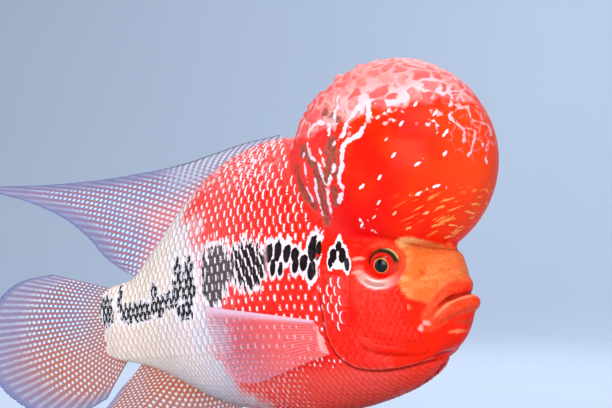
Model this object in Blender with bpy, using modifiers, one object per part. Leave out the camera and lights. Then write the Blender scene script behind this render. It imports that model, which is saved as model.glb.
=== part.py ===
"""Flowerhorn cichlid, a life-size still model held on two rods over a flat base.

The fish is modelled straight, in millimetres: x runs from the root of the tail fin at 0 to the lips,
y is 0 in its middle plane and z is 0 on its lateral axis. It is then bent at the tail, tipped head up,
lifted over the stand and scaled to metres.
"""

import math

import bmesh
import bpy
import numpy as np
from mathutils import Matrix, Vector

MM = 0.001
GAP = 0.3  # clearance between touching pieces

# Driving sizes of the fish
STANDARD_LENGTH = 181  # lower lip to the root of the tail fin
HUMP_CENTRE = (147, 0, 60.5)
HUMP_HALF_SIZE = (46, 36, 44.5)
EYE_CENTRE = (148.3, 20.4, 17.1)
EYE_RADIUS = 6.9
NOSTRIL = (163.5, 13.6, 12.5)
NOSTRIL_HALF_SIZE = (1.6, 2.6, 1.25)
FLESH_TRIANGLES = 6400
AFTER_CUTS = 0.62  # share of the triangles that stays once the cuts' slivers are taken out

# Pose
PITCH = math.radians(5)  # head up
TAIL_BEND = math.radians(5)  # the stalk swings to the fish's left
FIN_BEND = math.radians(-9)  # the tail fin trails back past straight
TAIL_FIN_LENGTH = 69
AXIS_HEIGHT = 90  # the lateral axis above the floor, at the middle of the body
MIDDLE = 99.5  # the place along the fish that stands over the origin

# Stand
BASE_SIZE = (150, 96, 8)
BASE_CORNER = 10
ROD_RADIUS = 2.5
ROD_PLACES = (-24, 22)
ROD_IN_BASE = 5
ROD_IN_BODY = 9

# Outlines in side view: (x, z)
BACK = ((0, 17.5), (11, 20), (20, 28), (32, 40), (46, 53.5), (60, 64.5), (78, 72.5), (98, 75.5), (117, 71),
        (134, 60), (147, 48), (158, 37), (166, 30), (172.3, 23.5), (175.8, 14.5), (177.2, 6), (178.2, -2))
BELLY = ((0, -17.3), (10, -19), (18, -21), (27.5, -24.5), (39, -30), (51.5, -36), (69, -41.5), (88.5, -45),
         (107.5, -45.8), (126, -43.4), (140, -39.8), (151, -35.6), (158, -31.5), (163.2, -27), (168.8, -21),
         (174.2, -15), (177, -9), (178.2, -4))
HALF_WIDTH = ((0, 4.2), (16, 7.5), (34, 13.5), (54, 20), (76, 25.5), (98, 29), (118, 31), (130, 30.8),
              (142, 28.6), (152, 24.6), (161, 19.2), (168, 14), (173.8, 8.5), (178.2, 3.5))
WIDEST_LEVEL = ((0, 0), (60, 5), (110, 6), (140, 2), (160, -2), (178.2, -3))
HUMP_EDGE = ((70, 104), (88, 84), (96, 69), (104, 54), (117, 38.5), (131, 30), (148, 27), (158, 23.8),
             (166, 21.8), (175, 20.8), (200, 17))
GILL_EDGE = ((114, 44), (120, 30), (122, 18), (122.8, 8), (123.4, -3), (123.8, -12), (126.6, -19), (131, -23.6),
             (136, -26), (142, -26.9), (149, -26.7), (156, -25.6), (163, -23.8), (168.5, -22.2), (190, -19))
CHEEK_RIDGE = ((139, 24), (137.6, 12), (137, 0), (137, -9), (139.7, -15.6), (145, -18.6), (153, -20), (160, -19.5))
MOUTH_LINE = ((200, 7), (184, 4), (178, 2.6), (173, 0.8), (169, -2.3), (165.4, -6.0), (161.5, -10),
              (158.6, -14.4), (158, -20), (159, -26), (160, -34))

# Lips in space, from the corner of the mouth to the middle: (x, y, z), and the radius at each point
UPPER_LIP = ((163.8, -16.2, -6.0), (168.4, -13.2, 0.0), (172.6, -8.7, 4.6), (175.5, 0, 6.4))
UPPER_LIP_RADII = (1.3, 2.2, 2.6, 2.7)
LOWER_LIP = ((164.4, -15.4, -8.4), (169, -12.7, -5.5), (173.8, -8.5, -3.1), (177.6, 0, -1.7))
LOWER_LIP_RADII = (1.8, 2.8, 3.4, 3.5)

STALK_CUT = ((33, 70), (27, 45), (24, 10), (24, -10), (27, -40))

LOOKS = {
    "skin_red": ((0.86, 0.06, 0.035), 0.35),
    "hump_red": ((0.9, 0.09, 0.035), 0.3),
    "flank_red": ((0.84, 0.08, 0.07), 0.38),
    "stalk_pink": ((0.8, 0.55, 0.52), 0.4),
    "lip_red": ((0.8, 0.1, 0.08), 0.25),
    "fin_membrane": ((0.55, 0.6, 0.75), 0.4),
    "eye_wet": ((0.6, 0.02, 0.01), 0.08),
    "stand_dark": ((0.03, 0.03, 0.035), 0.3),
    "stand_steel": ((0.55, 0.55, 0.56), 0.25),
}


def smooth_curve(points):
    """A smooth function through (position, value) points given in rising order of position."""
    places, values = np.array(points, float).T
    slopes = np.gradient(values, places)

    def value(at):
        at = np.clip(at, places[0], places[-1])
        i = np.clip(np.searchsorted(places, at) - 1, 0, len(places) - 2)
        span = places[i + 1] - places[i]
        t = (at - places[i]) / span
        start = (1 + 2 * t) * (1 - t) ** 2 * values[i] + t * (1 - t) ** 2 * span * slopes[i]
        end = t * t * (3 - 2 * t) * values[i + 1] + t * t * (t - 1) * span * slopes[i + 1]
        return start + end

    return value


back_height = smooth_curve(BACK)
belly_height = smooth_curve(BELLY)
half_width = smooth_curve(HALF_WIDTH)
widest_level = smooth_curve(WIDEST_LEVEL)


def smooth_path(points, pieces=4):
    """Points of a smooth path through the given ones."""
    points = np.array(points, float)
    share = np.arange(len(points))
    at = np.linspace(0, len(points) - 1, (len(points) - 1) * pieces + 1)
    return np.column_stack([smooth_curve(list(zip(share, column)))(at) for column in points.T])


def heading(x):
    """The sideways turn of the fish's axis at x, in radians: none in the head, most at the stalk."""
    body = TAIL_BEND * np.clip((95 - x) / 95, 0, 1)
    fin = (FIN_BEND - TAIL_BEND) * np.clip(-x / TAIL_FIN_LENGTH, 0, 1.2)
    return body + fin


def pose(points):
    """Bends straight-fish points at the tail, tips them head up and lifts them over the stand, in metres."""
    points = np.asarray(points, float).reshape(-1, 3)
    along = np.linspace(-100, 200, 601)
    step = along[1] - along[0]
    turn = heading(along)
    axis_x = np.cumsum(np.cos(turn)) * step
    axis_y = -np.cumsum(np.sin(turn)) * step
    axis_x -= np.interp(MIDDLE, along, axis_x)
    axis_y -= np.interp(MIDDLE, along, axis_y)
    angle = np.interp(points[:, 0], along, turn)
    x = np.interp(points[:, 0], along, axis_x) + points[:, 1] * np.sin(angle)
    y = np.interp(points[:, 0], along, axis_y) + points[:, 1] * np.cos(angle)
    z = points[:, 2]
    tipped_x = x * math.cos(PITCH) - z * math.sin(PITCH)
    tipped_z = x * math.sin(PITCH) + z * math.cos(PITCH)
    return np.column_stack([tipped_x, y, tipped_z + AXIS_HEIGHT]) * MM


def material(name):
    found = bpy.data.materials.get(name)
    if found:
        return found
    colour, roughness = LOOKS[name]
    made = bpy.data.materials.new(name)
    made.use_nodes = True
    shader = made.node_tree.nodes["Principled BSDF"]
    shader.inputs["Base Color"].default_value = (*colour, 1)
    shader.inputs["Roughness"].default_value = roughness
    shader.inputs["Metallic"].default_value = 1.0 if name == "stand_steel" else 0.0
    return made


def collection(name):
    found = bpy.data.collections.get(name)
    if not found:
        found = bpy.data.collections.new(name)
        bpy.context.scene.collection.children.link(found)
    return found


def make_object(name, mesh, look=None, group="flowerhorn"):
    made = bpy.data.objects.new(name, mesh)
    collection(group).objects.link(made)
    if group != "flowerhorn":
        made.hide_render = True
        made.display_type = "WIRE"
    if look:
        mesh.materials.clear()
        mesh.materials.append(material(look))
    return made


def mesh_of(points, faces):
    mesh = bpy.data.meshes.new("shape")
    mesh.from_pydata([tuple(map(float, p)) for p in points], [], [tuple(map(int, f)) for f in faces])
    mesh.update()
    shape = bmesh.new()
    shape.from_mesh(mesh)
    bmesh.ops.recalc_face_normals(shape, faces=shape.faces)
    shape.to_mesh(mesh)
    shape.free()
    return mesh


def apply_modifiers(thing):
    graph = bpy.context.evaluated_depsgraph_get()
    mesh = bpy.data.meshes.new_from_object(thing.evaluated_get(graph))
    thing.modifiers.clear()
    thing.data = mesh


def points_of(mesh):
    points = np.empty(len(mesh.vertices) * 3, np.float32)
    mesh.vertices.foreach_get("co", points)
    return points.reshape(-1, 3).astype(float)


def normals_of(mesh):
    normals = np.empty(len(mesh.vertices) * 3, np.float32)
    mesh.vertices.foreach_get("normal", normals)
    return normals.reshape(-1, 3).astype(float)


def set_points(mesh, points):
    mesh.vertices.foreach_set("co", np.asarray(points, np.float32).ravel())
    mesh.update()


def remove(things):
    for thing in list(things):
        bpy.data.objects.remove(thing)


def combine(target, other, operation, solver="EXACT"):
    """Cuts, joins or intersects target with other, and removes other."""
    step = target.modifiers.new("step", "BOOLEAN")
    step.operation = operation
    step.solver = solver
    step.object = other
    bpy.context.view_layer.update()
    apply_modifiers(target)
    remove([other])


def copy_of(thing, name="copy"):
    return make_object(name, thing.data.copy(), group="cutters")


def loose_parts(mesh):
    """The separate closed pieces of a mesh, each as its own mesh, largest first."""
    shape = bmesh.new()
    shape.from_mesh(mesh)
    bmesh.ops.triangulate(shape, faces=shape.faces)
    shape.verts.index_update()
    points = np.array([vertex.co for vertex in shape.verts])
    faces = np.array([[vertex.index for vertex in face.verts] for face in shape.faces])
    shape.free()
    group = np.arange(len(points))
    while True:
        lowest = group[faces].min(axis=1)
        new = group.copy()
        np.minimum.at(new, faces.ravel(), np.repeat(lowest, 3))
        new = new[new]
        if (new == group).all():
            break
        group = new
    pieces = []
    for label in np.unique(group[faces[:, 0]]):
        own = faces[group[faces[:, 0]] == label]
        used, renumbered = np.unique(own, return_inverse=True)
        corners = points[own]
        volume = np.einsum("ij,ij->i", corners[:, 0], np.cross(corners[:, 1], corners[:, 2])).sum() / 6
        out = bpy.data.meshes.new("piece")
        out.from_pydata(points[used].tolist(), [], renumbered.reshape(-1, 3).tolist())
        out.update()
        pieces.append((volume, out))
    pieces.sort(key=lambda pair: -pair[0])
    return [out for volume, out in pieces if volume > 0]


def keep_largest(thing):
    thing.data = loose_parts(thing.data)[0]


def ball(name, centre, half_size, group="cutters", segments=32):
    shape = bmesh.new()
    bmesh.ops.create_uvsphere(shape, u_segments=segments, v_segments=segments // 2, radius=1)
    bmesh.ops.transform(shape, verts=shape.verts,
                        matrix=Matrix.Translation(centre) @ Matrix.Diagonal((*half_size, 1)))
    mesh = bpy.data.meshes.new(name)
    shape.to_mesh(mesh)
    shape.free()
    return make_object(name, mesh, group=group)


def cylinder(name, centre, radius, bottom, top, group="cutters", sides=24):
    shape = bmesh.new()
    bmesh.ops.create_cone(shape, cap_ends=True, segments=sides, radius1=radius, radius2=radius, depth=top - bottom,
                          matrix=Matrix.Translation((centre[0], centre[1], (top + bottom) / 2)))
    mesh = bpy.data.meshes.new(name)
    shape.to_mesh(mesh)
    shape.free()
    return make_object(name, mesh, group=group)


def prism(name, outline, y_from, y_to, group="cutters"):
    """A closed outline of (x, z) points carried from one y to another."""
    count = len(outline)
    points = [(x, y_from, z) for x, z in outline] + [(x, y_to, z) for x, z in outline]
    faces = [tuple(range(count)), tuple(range(2 * count - 1, count - 1, -1))]
    faces += [(i, (i + 1) % count, (i + 1) % count + count, i + count) for i in range(count)]
    return make_object(name, mesh_of(points, faces), group=group)


def wall(name, line, thickness=GAP):
    """A thin curved wall through the whole width of the fish, along a line of (x, z) points."""
    path = smooth_path(line, 3)
    along = np.gradient(path, axis=0)
    across = np.column_stack([-along[:, 1], along[:, 0]])
    across *= thickness / 2 / np.linalg.norm(across, axis=1)[:, None]
    return prism(name, list(path + across) + list((path - across)[::-1]), -70, 70)


def distance_to(line, x, z):
    """The distance of each (x, z) from a line of points, below nought on the line's right-hand side."""
    path = smooth_path(line, 4)
    best = np.full(x.shape, 1e9)
    side = np.zeros(x.shape)
    for (ax, az), (bx, bz) in zip(path[:-1], path[1:]):
        dx, dz = bx - ax, bz - az
        t = np.clip(((x - ax) * dx + (z - az) * dz) / (dx * dx + dz * dz), 0, 1)
        away = np.hypot(x - ax - t * dx, z - az - t * dz)
        turn = dx * (z - az) - dz * (x - ax)
        closer = away < best
        best = np.where(closer, away, best)
        side = np.where(closer, np.sign(turn), side)
    return best * side


def ramp(value, start, end):
    t = np.clip((value - start) / (end - start), 0, 1)
    return t * t * (3 - 2 * t)


def bell(value, centre, spread):
    return np.exp(-(((value - centre) / spread) ** 2))


def relief(points):
    """How far the skin stands out at each point: the gill cover's step, the cheek ridge, the rim of the eye."""
    x, y, z = points.T
    outer = ramp(abs(y), 7, 12)
    behind_face = ramp(x, 182, 168) * ramp(z, 32, 22)
    cover = distance_to(GILL_EDGE, x, z)
    lift = 1.5 * ramp(cover, -0.3, 0.9) * np.exp(-np.clip(cover, 0, None) / 9) - 0.5 * bell(cover, -1.2, 1.4)
    out = lift * outer * behind_face - 1.6 * bell(cover, -0.4, 1.6) * ramp(x, 157, 163) * ramp(x, 184, 172)
    ridge = distance_to(CHEEK_RIDGE, x, z)
    out += (0.7 * bell(ridge, 0.6, 1.3) - 0.7 * bell(ridge, -1.8, 1.3)) * outer * ramp(x, 160, 152) * ramp(z, 24, 16)
    from_eye = np.hypot(x - EYE_CENTRE[0], z - EYE_CENTRE[2])
    out += 1.0 * bell(from_eye, EYE_RADIUS + 1.3, 1.7) * outer
    crease = distance_to(HUMP_EDGE, x, z)
    out -= 0.9 * bell(crease, 0, 1.6) * ramp(x, 92, 98)
    out -= 1.3 * bell(distance_to(MOUTH_LINE, x, z), 0, 1.2) * ramp(x, 158, 164)
    on_hump = ramp(crease, 6, 16)
    lumps = np.sin(0.52 * x + 1.3 * np.sin(0.23 * z)) * np.sin(0.5 * y + 1.1 * np.sin(0.21 * x)) * np.sin(0.47 * z)
    out += 0.7 * lumps * on_hump * ramp(z - 0.4 * x, -12, 20)
    return out


def body_loft():
    """The body without its hump: rings of unlike sections from the tail root to the lips."""
    rings, sides = 52, 36
    share = 1 - (1 - np.linspace(0, 1, rings)) ** 1.7
    points = []
    for x in share * BACK[-1][0]:
        top, bottom, wide = back_height(x), belly_height(x), half_width(x)
        level = min(max(widest_level(x), bottom * 0.5), top * 0.5 + bottom * 0.5)
        for angle in np.linspace(0, 2 * math.pi, sides, endpoint=False):
            across, up = math.cos(angle), math.sin(angle)
            reach = (top - level) if up > 0 else (level - bottom)
            fullness = 1.0 if up > 0 else 0.85
            points.append((x, math.copysign(abs(across) ** fullness, across) * wide, level + up * reach))
    faces = []
    for i in range(rings - 1):
        for j in range(sides):
            k = (j + 1) % sides
            faces.append((i * sides + j, i * sides + k, (i + 1) * sides + k, (i + 1) * sides + j))
    faces.append(tuple(range(sides)))
    faces.append(tuple((rings - 1) * sides + j for j in reversed(range(sides))))
    return make_object("body_loft", mesh_of(points, faces), group="flesh_pieces")


def tube(name, points, radii):
    """A round tube through both halves of a path that starts at a mouth corner and ends in the middle plane."""
    path = list(points) + [(x, -y, z) for x, y, z in reversed(points[:-1])]
    curve = bpy.data.curves.new(name, "CURVE")
    curve.dimensions = "3D"
    curve.bevel_depth = 1
    curve.bevel_resolution = 3
    curve.resolution_u = 6
    curve.use_fill_caps = True
    spline = curve.splines.new("BEZIER")
    spline.bezier_points.add(len(path) - 1)
    for knot, place, size in zip(spline.bezier_points, path, list(radii) + list(reversed(radii[:-1]))):
        knot.co = place
        knot.handle_left_type = knot.handle_right_type = "AUTO"
        knot.radius = size
    guide = bpy.data.objects.new(name, curve)
    collection("flesh_pieces").objects.link(guide)
    bpy.context.view_layer.update()
    mesh = bpy.data.meshes.new_from_object(guide.evaluated_get(bpy.context.evaluated_depsgraph_get()))
    remove([guide])
    return make_object(name, mesh, group="flesh_pieces")


def make_flesh():
    """The whole of the flesh in one closed skin, before it is parted."""
    pieces = [
        body_loft(),
        ball("hump_ball", HUMP_CENTRE, HUMP_HALF_SIZE, "flesh_pieces", 48),
        tube("upper_lip", UPPER_LIP, UPPER_LIP_RADII),
        tube("lower_lip", LOWER_LIP, LOWER_LIP_RADII),
    ]
    shape = bmesh.new()
    for piece in pieces:
        shape.from_mesh(piece.data)
    remove(pieces)
    merged = bpy.data.meshes.new("flesh")
    shape.to_mesh(merged)
    shape.free()
    flesh = make_object("flesh", merged, group="cutters")
    fuse = flesh.modifiers.new("fuse", "REMESH")
    fuse.mode = "VOXEL"
    fuse.voxel_size = 1.3
    soften = flesh.modifiers.new("soften", "SMOOTH")
    soften.factor = 0.5
    soften.iterations = 4
    apply_modifiers(flesh)
    points = points_of(flesh.data)
    set_points(flesh.data, points + normals_of(flesh.data) * relief(points)[:, None])
    return flesh


def thin_out(thing, triangles):
    shrink = thing.modifiers.new("thin_out", "DECIMATE")
    shrink.ratio = triangles / sum(len(face.vertices) - 2 for face in thing.data.polygons)
    apply_modifiers(thing)


def swollen(thing, by, name):
    grown = copy_of(thing, name)
    set_points(grown.data, points_of(grown.data) + normals_of(grown.data) * by)
    return grown


def fin(name, roots, tips, rays, steps, place=None, thick=(1.5, 0.75), thin=(0.75, 0.5), bow=0.0, wave=0.0):
    """A fin with its rays raised in both faces. roots and tips hold the (share, x, z) of rays across it."""
    columns = 2 * rays - 1
    share = np.linspace(0, 1, columns)
    root_at = [smooth_curve([(p[0], p[i]) for p in roots]) for i in (1, 2)]
    tip_at = [smooth_curve([(p[0], p[i]) for p in tips]) for i in (1, 2)]
    middle, half = [], []
    for c, s in enumerate(share):
        on_ray = c % 2 == 0
        root = np.array([root_at[0](s), root_at[1](s)])
        tip = np.array([tip_at[0](s), tip_at[1](s)])
        reach = tip - root
        side = np.array([-reach[1], reach[0]])
        for t in np.linspace(0, 1, steps + 1):
            if not on_ray:
                t *= 0.975
            x, z = root + reach * t + side * bow * math.sin(math.pi * t)
            y = wave * math.sin(math.pi * 2.2 * s + 0.8) * t * t
            middle.append((x, y, z))
            near, far = thick if on_ray else thin
            half.append((near + (far - near) * t) / 2)
    middle, half = np.array(middle), np.array(half)
    points = np.vstack([middle + np.outer(half, (0, -1, 0)), middle + np.outer(half, (0, 1, 0))])
    if place:
        points = place(points)
    rows, count = steps + 1, len(middle)
    faces = []
    for c in range(columns - 1):
        for r in range(steps):
            a, b = c * rows + r, (c + 1) * rows + r
            if c % 2:
                cell = [(a, b, b + 1), (a, b + 1, a + 1)]
            else:
                cell = [(a, b, a + 1), (b, b + 1, a + 1)]
            for p, q, s in cell:
                faces += [(p, q, s), (p + count, s + count, q + count)]
    rim = [c * rows for c in range(columns)]
    rim += [(columns - 1) * rows + r for r in range(1, rows)]
    rim += [c * rows + steps for c in range(columns - 2, -1, -1)]
    rim += [r for r in range(steps - 1, 0, -1)]
    for a, b in zip(rim, rim[1:] + rim[:1]):
        faces += [(a, b, a + count), (b, b + count, a + count)]
    return make_object(name, mesh_of(points, faces), "fin_membrane")


def along_outline(height, sink, shift, x_from, x_to):
    """Fin roots that follow the back or the belly, sunk under the skin."""
    return [(s, x_from + (x_to - x_from) * s + shift, height(x_from + (x_to - x_from) * s) - sink)
            for s in np.linspace(0, 1, 9)]


def median_fins():
    dorsal = fin("dorsal_fin", along_outline(back_height, 4, 3, 97, 14),
                 ((0, 92, 77.2), (0.15, 73, 75.2), (0.3, 57, 71.8), (0.42, 43, 69), (0.52, 24, 67.2), (0.6, -3, 66.2),
                  (0.66, -34, 66.7), (0.71, -66, 68), (0.76, -44, 59.5), (0.81, -27, 51), (0.87, -14, 40.5),
                  (0.93, -6, 31), (1, 4, 23.5)), rays=29, steps=6, thick=(1.5, 0.8), bow=-0.03, wave=2.5)
    tail = fin("caudal_fin", ((0, 7, 13.5), (0.5, 5, -1), (1, 7, -14)),
               ((0, -36, 25), (0.12, -54, 22.5), (0.24, -66, 14), (0.4, -71.5, -2), (0.56, -69.5, -18), (0.7, -60, -31.5),
                (0.82, -45, -40), (0.92, -26, -40.5), (1, -11, -34.5)), rays=16, steps=7, bow=0.0, wave=2.5)
    anal = fin("anal_fin", along_outline(belly_height, -4, 3, 63, 13),
               ((0, 60, -46), (0.15, 50, -54), (0.3, 36, -60), (0.42, 20, -63.5), (0.52, 0, -65), (0.6, -22, -65),
                (0.66, -42, -65), (0.73, -38, -59.5), (0.8, -29, -52.5), (0.88, -16, -43), (1, -1, -29)),
               rays=16, steps=6, bow=0.04, wave=2.0)
    return [dorsal, tail, anal]


def paired_fins(side):
    """The breast fin and the belly fin of one side: side is -1 on the fish's right and 1 on its left."""
    word = "right" if side < 0 else "left"

    def beside_body(points):
        x, y, z = points.T
        out = 30 + 0.10 * (120 - x) + 2.2 * np.sin((z + 10) * 0.12) * ramp(x, 118, 80)
        return np.column_stack([x, side * (out - 6 * ramp(x, 119, 128)) + y, z])

    def under_belly(points):
        x, y, z = points.T
        return np.column_stack([x, side * (9 - 0.32 * (z + 40)) + y, z])

    breast = fin("pectoral_fin_" + word, ((0, 127, -6), (1, 126.5, -18)),
                 ((0, 71, 5), (0.15, 71, -1), (0.35, 73, -10), (0.55, 75, -19), (0.75, 80, -27.5), (0.9, 92, -28.5),
                  (1, 106, -24)), rays=14, steps=6, place=beside_body, thick=(1.4, 0.65), thin=(0.7, 0.5))
    belly = fin("pelvic_fin_" + word, ((0, 116, -38), (1, 106, -39)),
                ((0, 83, -66), (0.2, 68, -67), (0.4, 78, -61), (0.6, 85, -56.5), (0.8, 91, -53), (1, 97, -48.5)),
                rays=6, steps=6, place=under_belly, thick=(1.6, 0.8), thin=(0.8, 0.55))
    return [breast, belly]


def part_flesh(flesh, core):
    """Cuts the flesh along the creases between its regions. The pieces come back by name."""
    for side in (-1, 1):
        combine(flesh, ball("socket", (EYE_CENTRE[0], side * EYE_CENTRE[1], EYE_CENTRE[2]),
                            [EYE_RADIUS + GAP] * 3), "DIFFERENCE")
    combine(flesh, wall("hump_wall", HUMP_EDGE), "DIFFERENCE")
    combine(flesh, wall("gill_wall", GILL_EDGE), "DIFFERENCE")
    combine(flesh, wall("stalk_wall", STALK_CUT), "DIFFERENCE")
    pieces = {}
    for mesh in loose_parts(flesh.data)[:4]:
        x, y, z = points_of(mesh).mean(axis=0)
        if x < 30:
            name, look = "tail_stalk", "stalk_pink"
        elif z > 40 and x > 120:
            name, look = "hump", "hump_red"
        elif x > 133:
            name, look = "head", "skin_red"
        else:
            name, look = "trunk", "flank_red"
        pieces[name] = make_object(name, mesh, look)
    remove([flesh])
    head = pieces["head"]
    combine(head, wall("mouth_wall", MOUTH_LINE, 0.45), "DIFFERENCE")
    upper, jaw = loose_parts(head.data)[:2]
    head.data = upper
    upper.materials.append(material("skin_red"))
    pieces["lower_jaw"] = make_object("lower_jaw", jaw, "lip_red")
    ridge = smooth_path(CHEEK_RIDGE[1:], 2)
    outline = [(139.5, 20), *map(tuple, ridge), (164, -19), (164, -40), (112, -40), (112, 20)]
    for side, word in ((-1, "right"), (1, "left")):
        inner, outer = sorted((side * 12, side * 45))
        plate = prism("plate", outline, inner, outer)
        combine(plate, copy_of(core), "DIFFERENCE", "MANIFOLD")
        cut = swollen(plate, GAP, "plate_room")
        cover = copy_of(head, "cover")
        combine(cover, plate, "INTERSECT", "MANIFOLD")
        combine(head, cut, "DIFFERENCE", "MANIFOLD")
        cover_mesh = loose_parts(cover.data)[0]
        remove([cover])
        pieces["gill_cover_" + word] = make_object("gill_cover_" + word, cover_mesh, "skin_red")
    keep_largest(head)
    head.data.materials.append(material("skin_red"))
    for piece in pieces.values():
        before = len(piece.data.polygons)
        thin_out(piece, before * AFTER_CUTS)
        print(piece.name, before, len(piece.data.polygons))
    for side in (-1, 1):
        place = (NOSTRIL[0], side * NOSTRIL[1], NOSTRIL[2])
        combine(head, ball("nostril", place, NOSTRIL_HALF_SIZE, segments=12), "DIFFERENCE")
    return pieces


def rounded_base():
    half_x, half_y, height = BASE_SIZE[0] / 2, BASE_SIZE[1] / 2, BASE_SIZE[2]
    outline = []
    for corner in range(4):
        cx = (half_x - BASE_CORNER) * (1 if corner in (0, 3) else -1)
        cy = (half_y - BASE_CORNER) * (1 if corner in (0, 1) else -1)
        for step in range(7):
            angle = math.radians(90 * corner + 15 * step)
            outline.append((cx + BASE_CORNER * math.cos(angle), cy + BASE_CORNER * math.sin(angle)))
    count = len(outline)
    inset = 1 - 1.2 / half_y
    rings = [(1, 0), (1, height - 1.2), (inset, height)]
    points = [(x * k, y * k, z) for k, z in rings for x, y in outline]
    faces = [tuple(range(count - 1, -1, -1)), tuple(range(2 * count, 3 * count))]
    for level in range(2):
        for i in range(count):
            j = (i + 1) % count
            faces.append((level * count + i, level * count + j, (level + 1) * count + j, (level + 1) * count + i))
    return make_object("stand_base", mesh_of(points, faces), "stand_dark")


def make_stand(trunk):
    """The base and its two rods, in millimetres on the floor, with the rods let into the base and the trunk."""
    base = rounded_base()
    rods = []
    for name, x in zip(("stand_rod_rear", "stand_rod_front"), ROD_PLACES):
        under = [p for p in points_of(trunk.data) if math.hypot(p[0] - x, p[1]) < 6]
        top = min(p[2] for p in under) + ROD_IN_BODY
        foot = BASE_SIZE[2] - ROD_IN_BASE
        combine(base, cylinder("bore", (x, 0), ROD_RADIUS + GAP, foot - GAP, 30), "DIFFERENCE")
        combine(trunk, cylinder("bore", (x, 0), ROD_RADIUS + GAP, 20, top + GAP), "DIFFERENCE")
        rod = cylinder(name, (x, 0), ROD_RADIUS, foot, top, group="flowerhorn")
        rod.data.materials.append(material("stand_steel"))
        rods.append(rod)
    return [base] + rods


def main():
    remove(bpy.data.objects)
    flesh = make_flesh()
    core = swollen(flesh, -3.2, "core")
    thin_out(core, 1500)
    thin_out(flesh, FLESH_TRIANGLES)
    skin = swollen(flesh, GAP, "skin")
    fins = median_fins() + paired_fins(-1) + paired_fins(1)
    for each in fins:
        combine(each, copy_of(skin), "DIFFERENCE")
        keep_largest(each)
        each.data.materials.append(material("fin_membrane"))
    pieces = part_flesh(flesh, core)
    eyes = []
    for side, word in ((-1, "right"), (1, "left")):
        eye = ball("eye_" + word, (EYE_CENTRE[0], side * EYE_CENTRE[1], EYE_CENTRE[2]), [EYE_RADIUS] * 3,
                   "flowerhorn", 24)
        eye.data.materials.append(material("eye_wet"))
        eyes.append(eye)
    fish = list(pieces.values()) + fins + eyes
    for each in fish:
        set_points(each.data, pose(points_of(each.data)) / MM)
    stand = make_stand(pieces["trunk"])
    keep_largest(pieces["trunk"])
    pieces["trunk"].data.materials.append(material("flank_red"))
    for each in fish + stand:
        each.data.transform(Matrix.Scale(MM, 4))
        each.data.name = each.name
    remove([core, skin])
    for each in fish + stand:
        print(each.name, len(each.data.polygons))


main()
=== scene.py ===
# %% [markdown]
# # A flowerhorn cichlid, life size
# The fish is a deep, narrow body with a ball of a hump over its eyes. The solids give its outline. This
# lesson lays the finish over them: one wet skin, overlapping scales, rayed fins, an eye and a stand.
# Every size is in millimetres of a straight fish: x from the tail root to the lips, y to its left, z up.

# %% Load the solids
import math

import bmesh
import bpy
import numpy as np
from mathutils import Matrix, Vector, kdtree, noise


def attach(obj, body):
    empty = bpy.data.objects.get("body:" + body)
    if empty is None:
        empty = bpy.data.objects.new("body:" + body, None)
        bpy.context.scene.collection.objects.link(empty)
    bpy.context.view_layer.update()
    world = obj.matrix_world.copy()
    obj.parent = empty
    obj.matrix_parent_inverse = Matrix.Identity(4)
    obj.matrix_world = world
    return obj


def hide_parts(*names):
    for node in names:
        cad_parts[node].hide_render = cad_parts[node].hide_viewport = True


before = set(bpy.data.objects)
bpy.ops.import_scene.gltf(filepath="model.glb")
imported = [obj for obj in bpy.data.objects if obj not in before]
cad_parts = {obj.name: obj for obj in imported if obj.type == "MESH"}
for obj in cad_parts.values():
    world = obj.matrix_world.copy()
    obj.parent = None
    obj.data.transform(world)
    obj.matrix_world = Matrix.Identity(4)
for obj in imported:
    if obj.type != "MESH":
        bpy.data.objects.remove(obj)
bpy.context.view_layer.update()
MM = 0.001
chance = np.random.default_rng(11)
print("solids:", len(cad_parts))

# %% [markdown]
# ## The outline of the body
# A cast or a sculpted mesh would carry the shape as thousands of points. Here a few points of the back,
# the belly and the half width carry it, joined by smooth curves, so the skin keeps to the solids.

# %% Outlines
BACK = ((0, 17.5), (11, 20), (20, 28), (32, 40), (46, 53.5), (60, 64.5), (78, 72.5), (98, 75.5), (117, 71),
        (134, 60), (147, 48), (158, 37), (166, 30), (172.3, 23.5), (175.8, 14.5), (177.2, 6), (178.2, -2))
BELLY = ((0, -17.3), (10, -19), (18, -21), (27.5, -24.5), (39, -30), (51.5, -36), (69, -41.5), (88.5, -45),
         (107.5, -45.8), (126, -43.4), (140, -39.8), (151, -35.6), (158, -31.5), (163.2, -27), (168.8, -21),
         (174.2, -15), (177, -9), (178.2, -4))
HALF_WIDTH = ((0, 4.2), (16, 7.5), (34, 13.5), (54, 20), (76, 25.5), (98, 29), (118, 31), (130, 30.8),
              (142, 28.6), (152, 24.6), (161, 19.2), (168, 14), (173.8, 8.5), (178.2, 3.5))
WIDEST_LEVEL = ((0, 0), (60, 5), (110, 6), (140, 2), (160, -2), (178.2, -3))
HUMP_CENTRE = np.array((147, 0, 60.5))
HUMP_HALF_SIZE = np.array((46, 36, 44.5))
EYE_CENTRE = np.array((148.3, 20.4, 17.1))
EYE_RADIUS = 6.9
NOSTRIL = (163.5, 13.6, 12.5)
UPPER_LIP = ((163.8, -16.2, -6.0), (168.4, -13.2, 0.0), (172.6, -8.7, 4.6), (175.5, 0, 6.4))
UPPER_LIP_RADII = (1.3, 2.2, 2.6, 2.7)
LOWER_LIP = ((164.4, -15.4, -8.4), (169, -12.7, -5.5), (173.8, -8.5, -3.1), (177.6, 0, -1.7))
LOWER_LIP_RADII = (1.8, 2.8, 3.4, 3.5)


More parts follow.
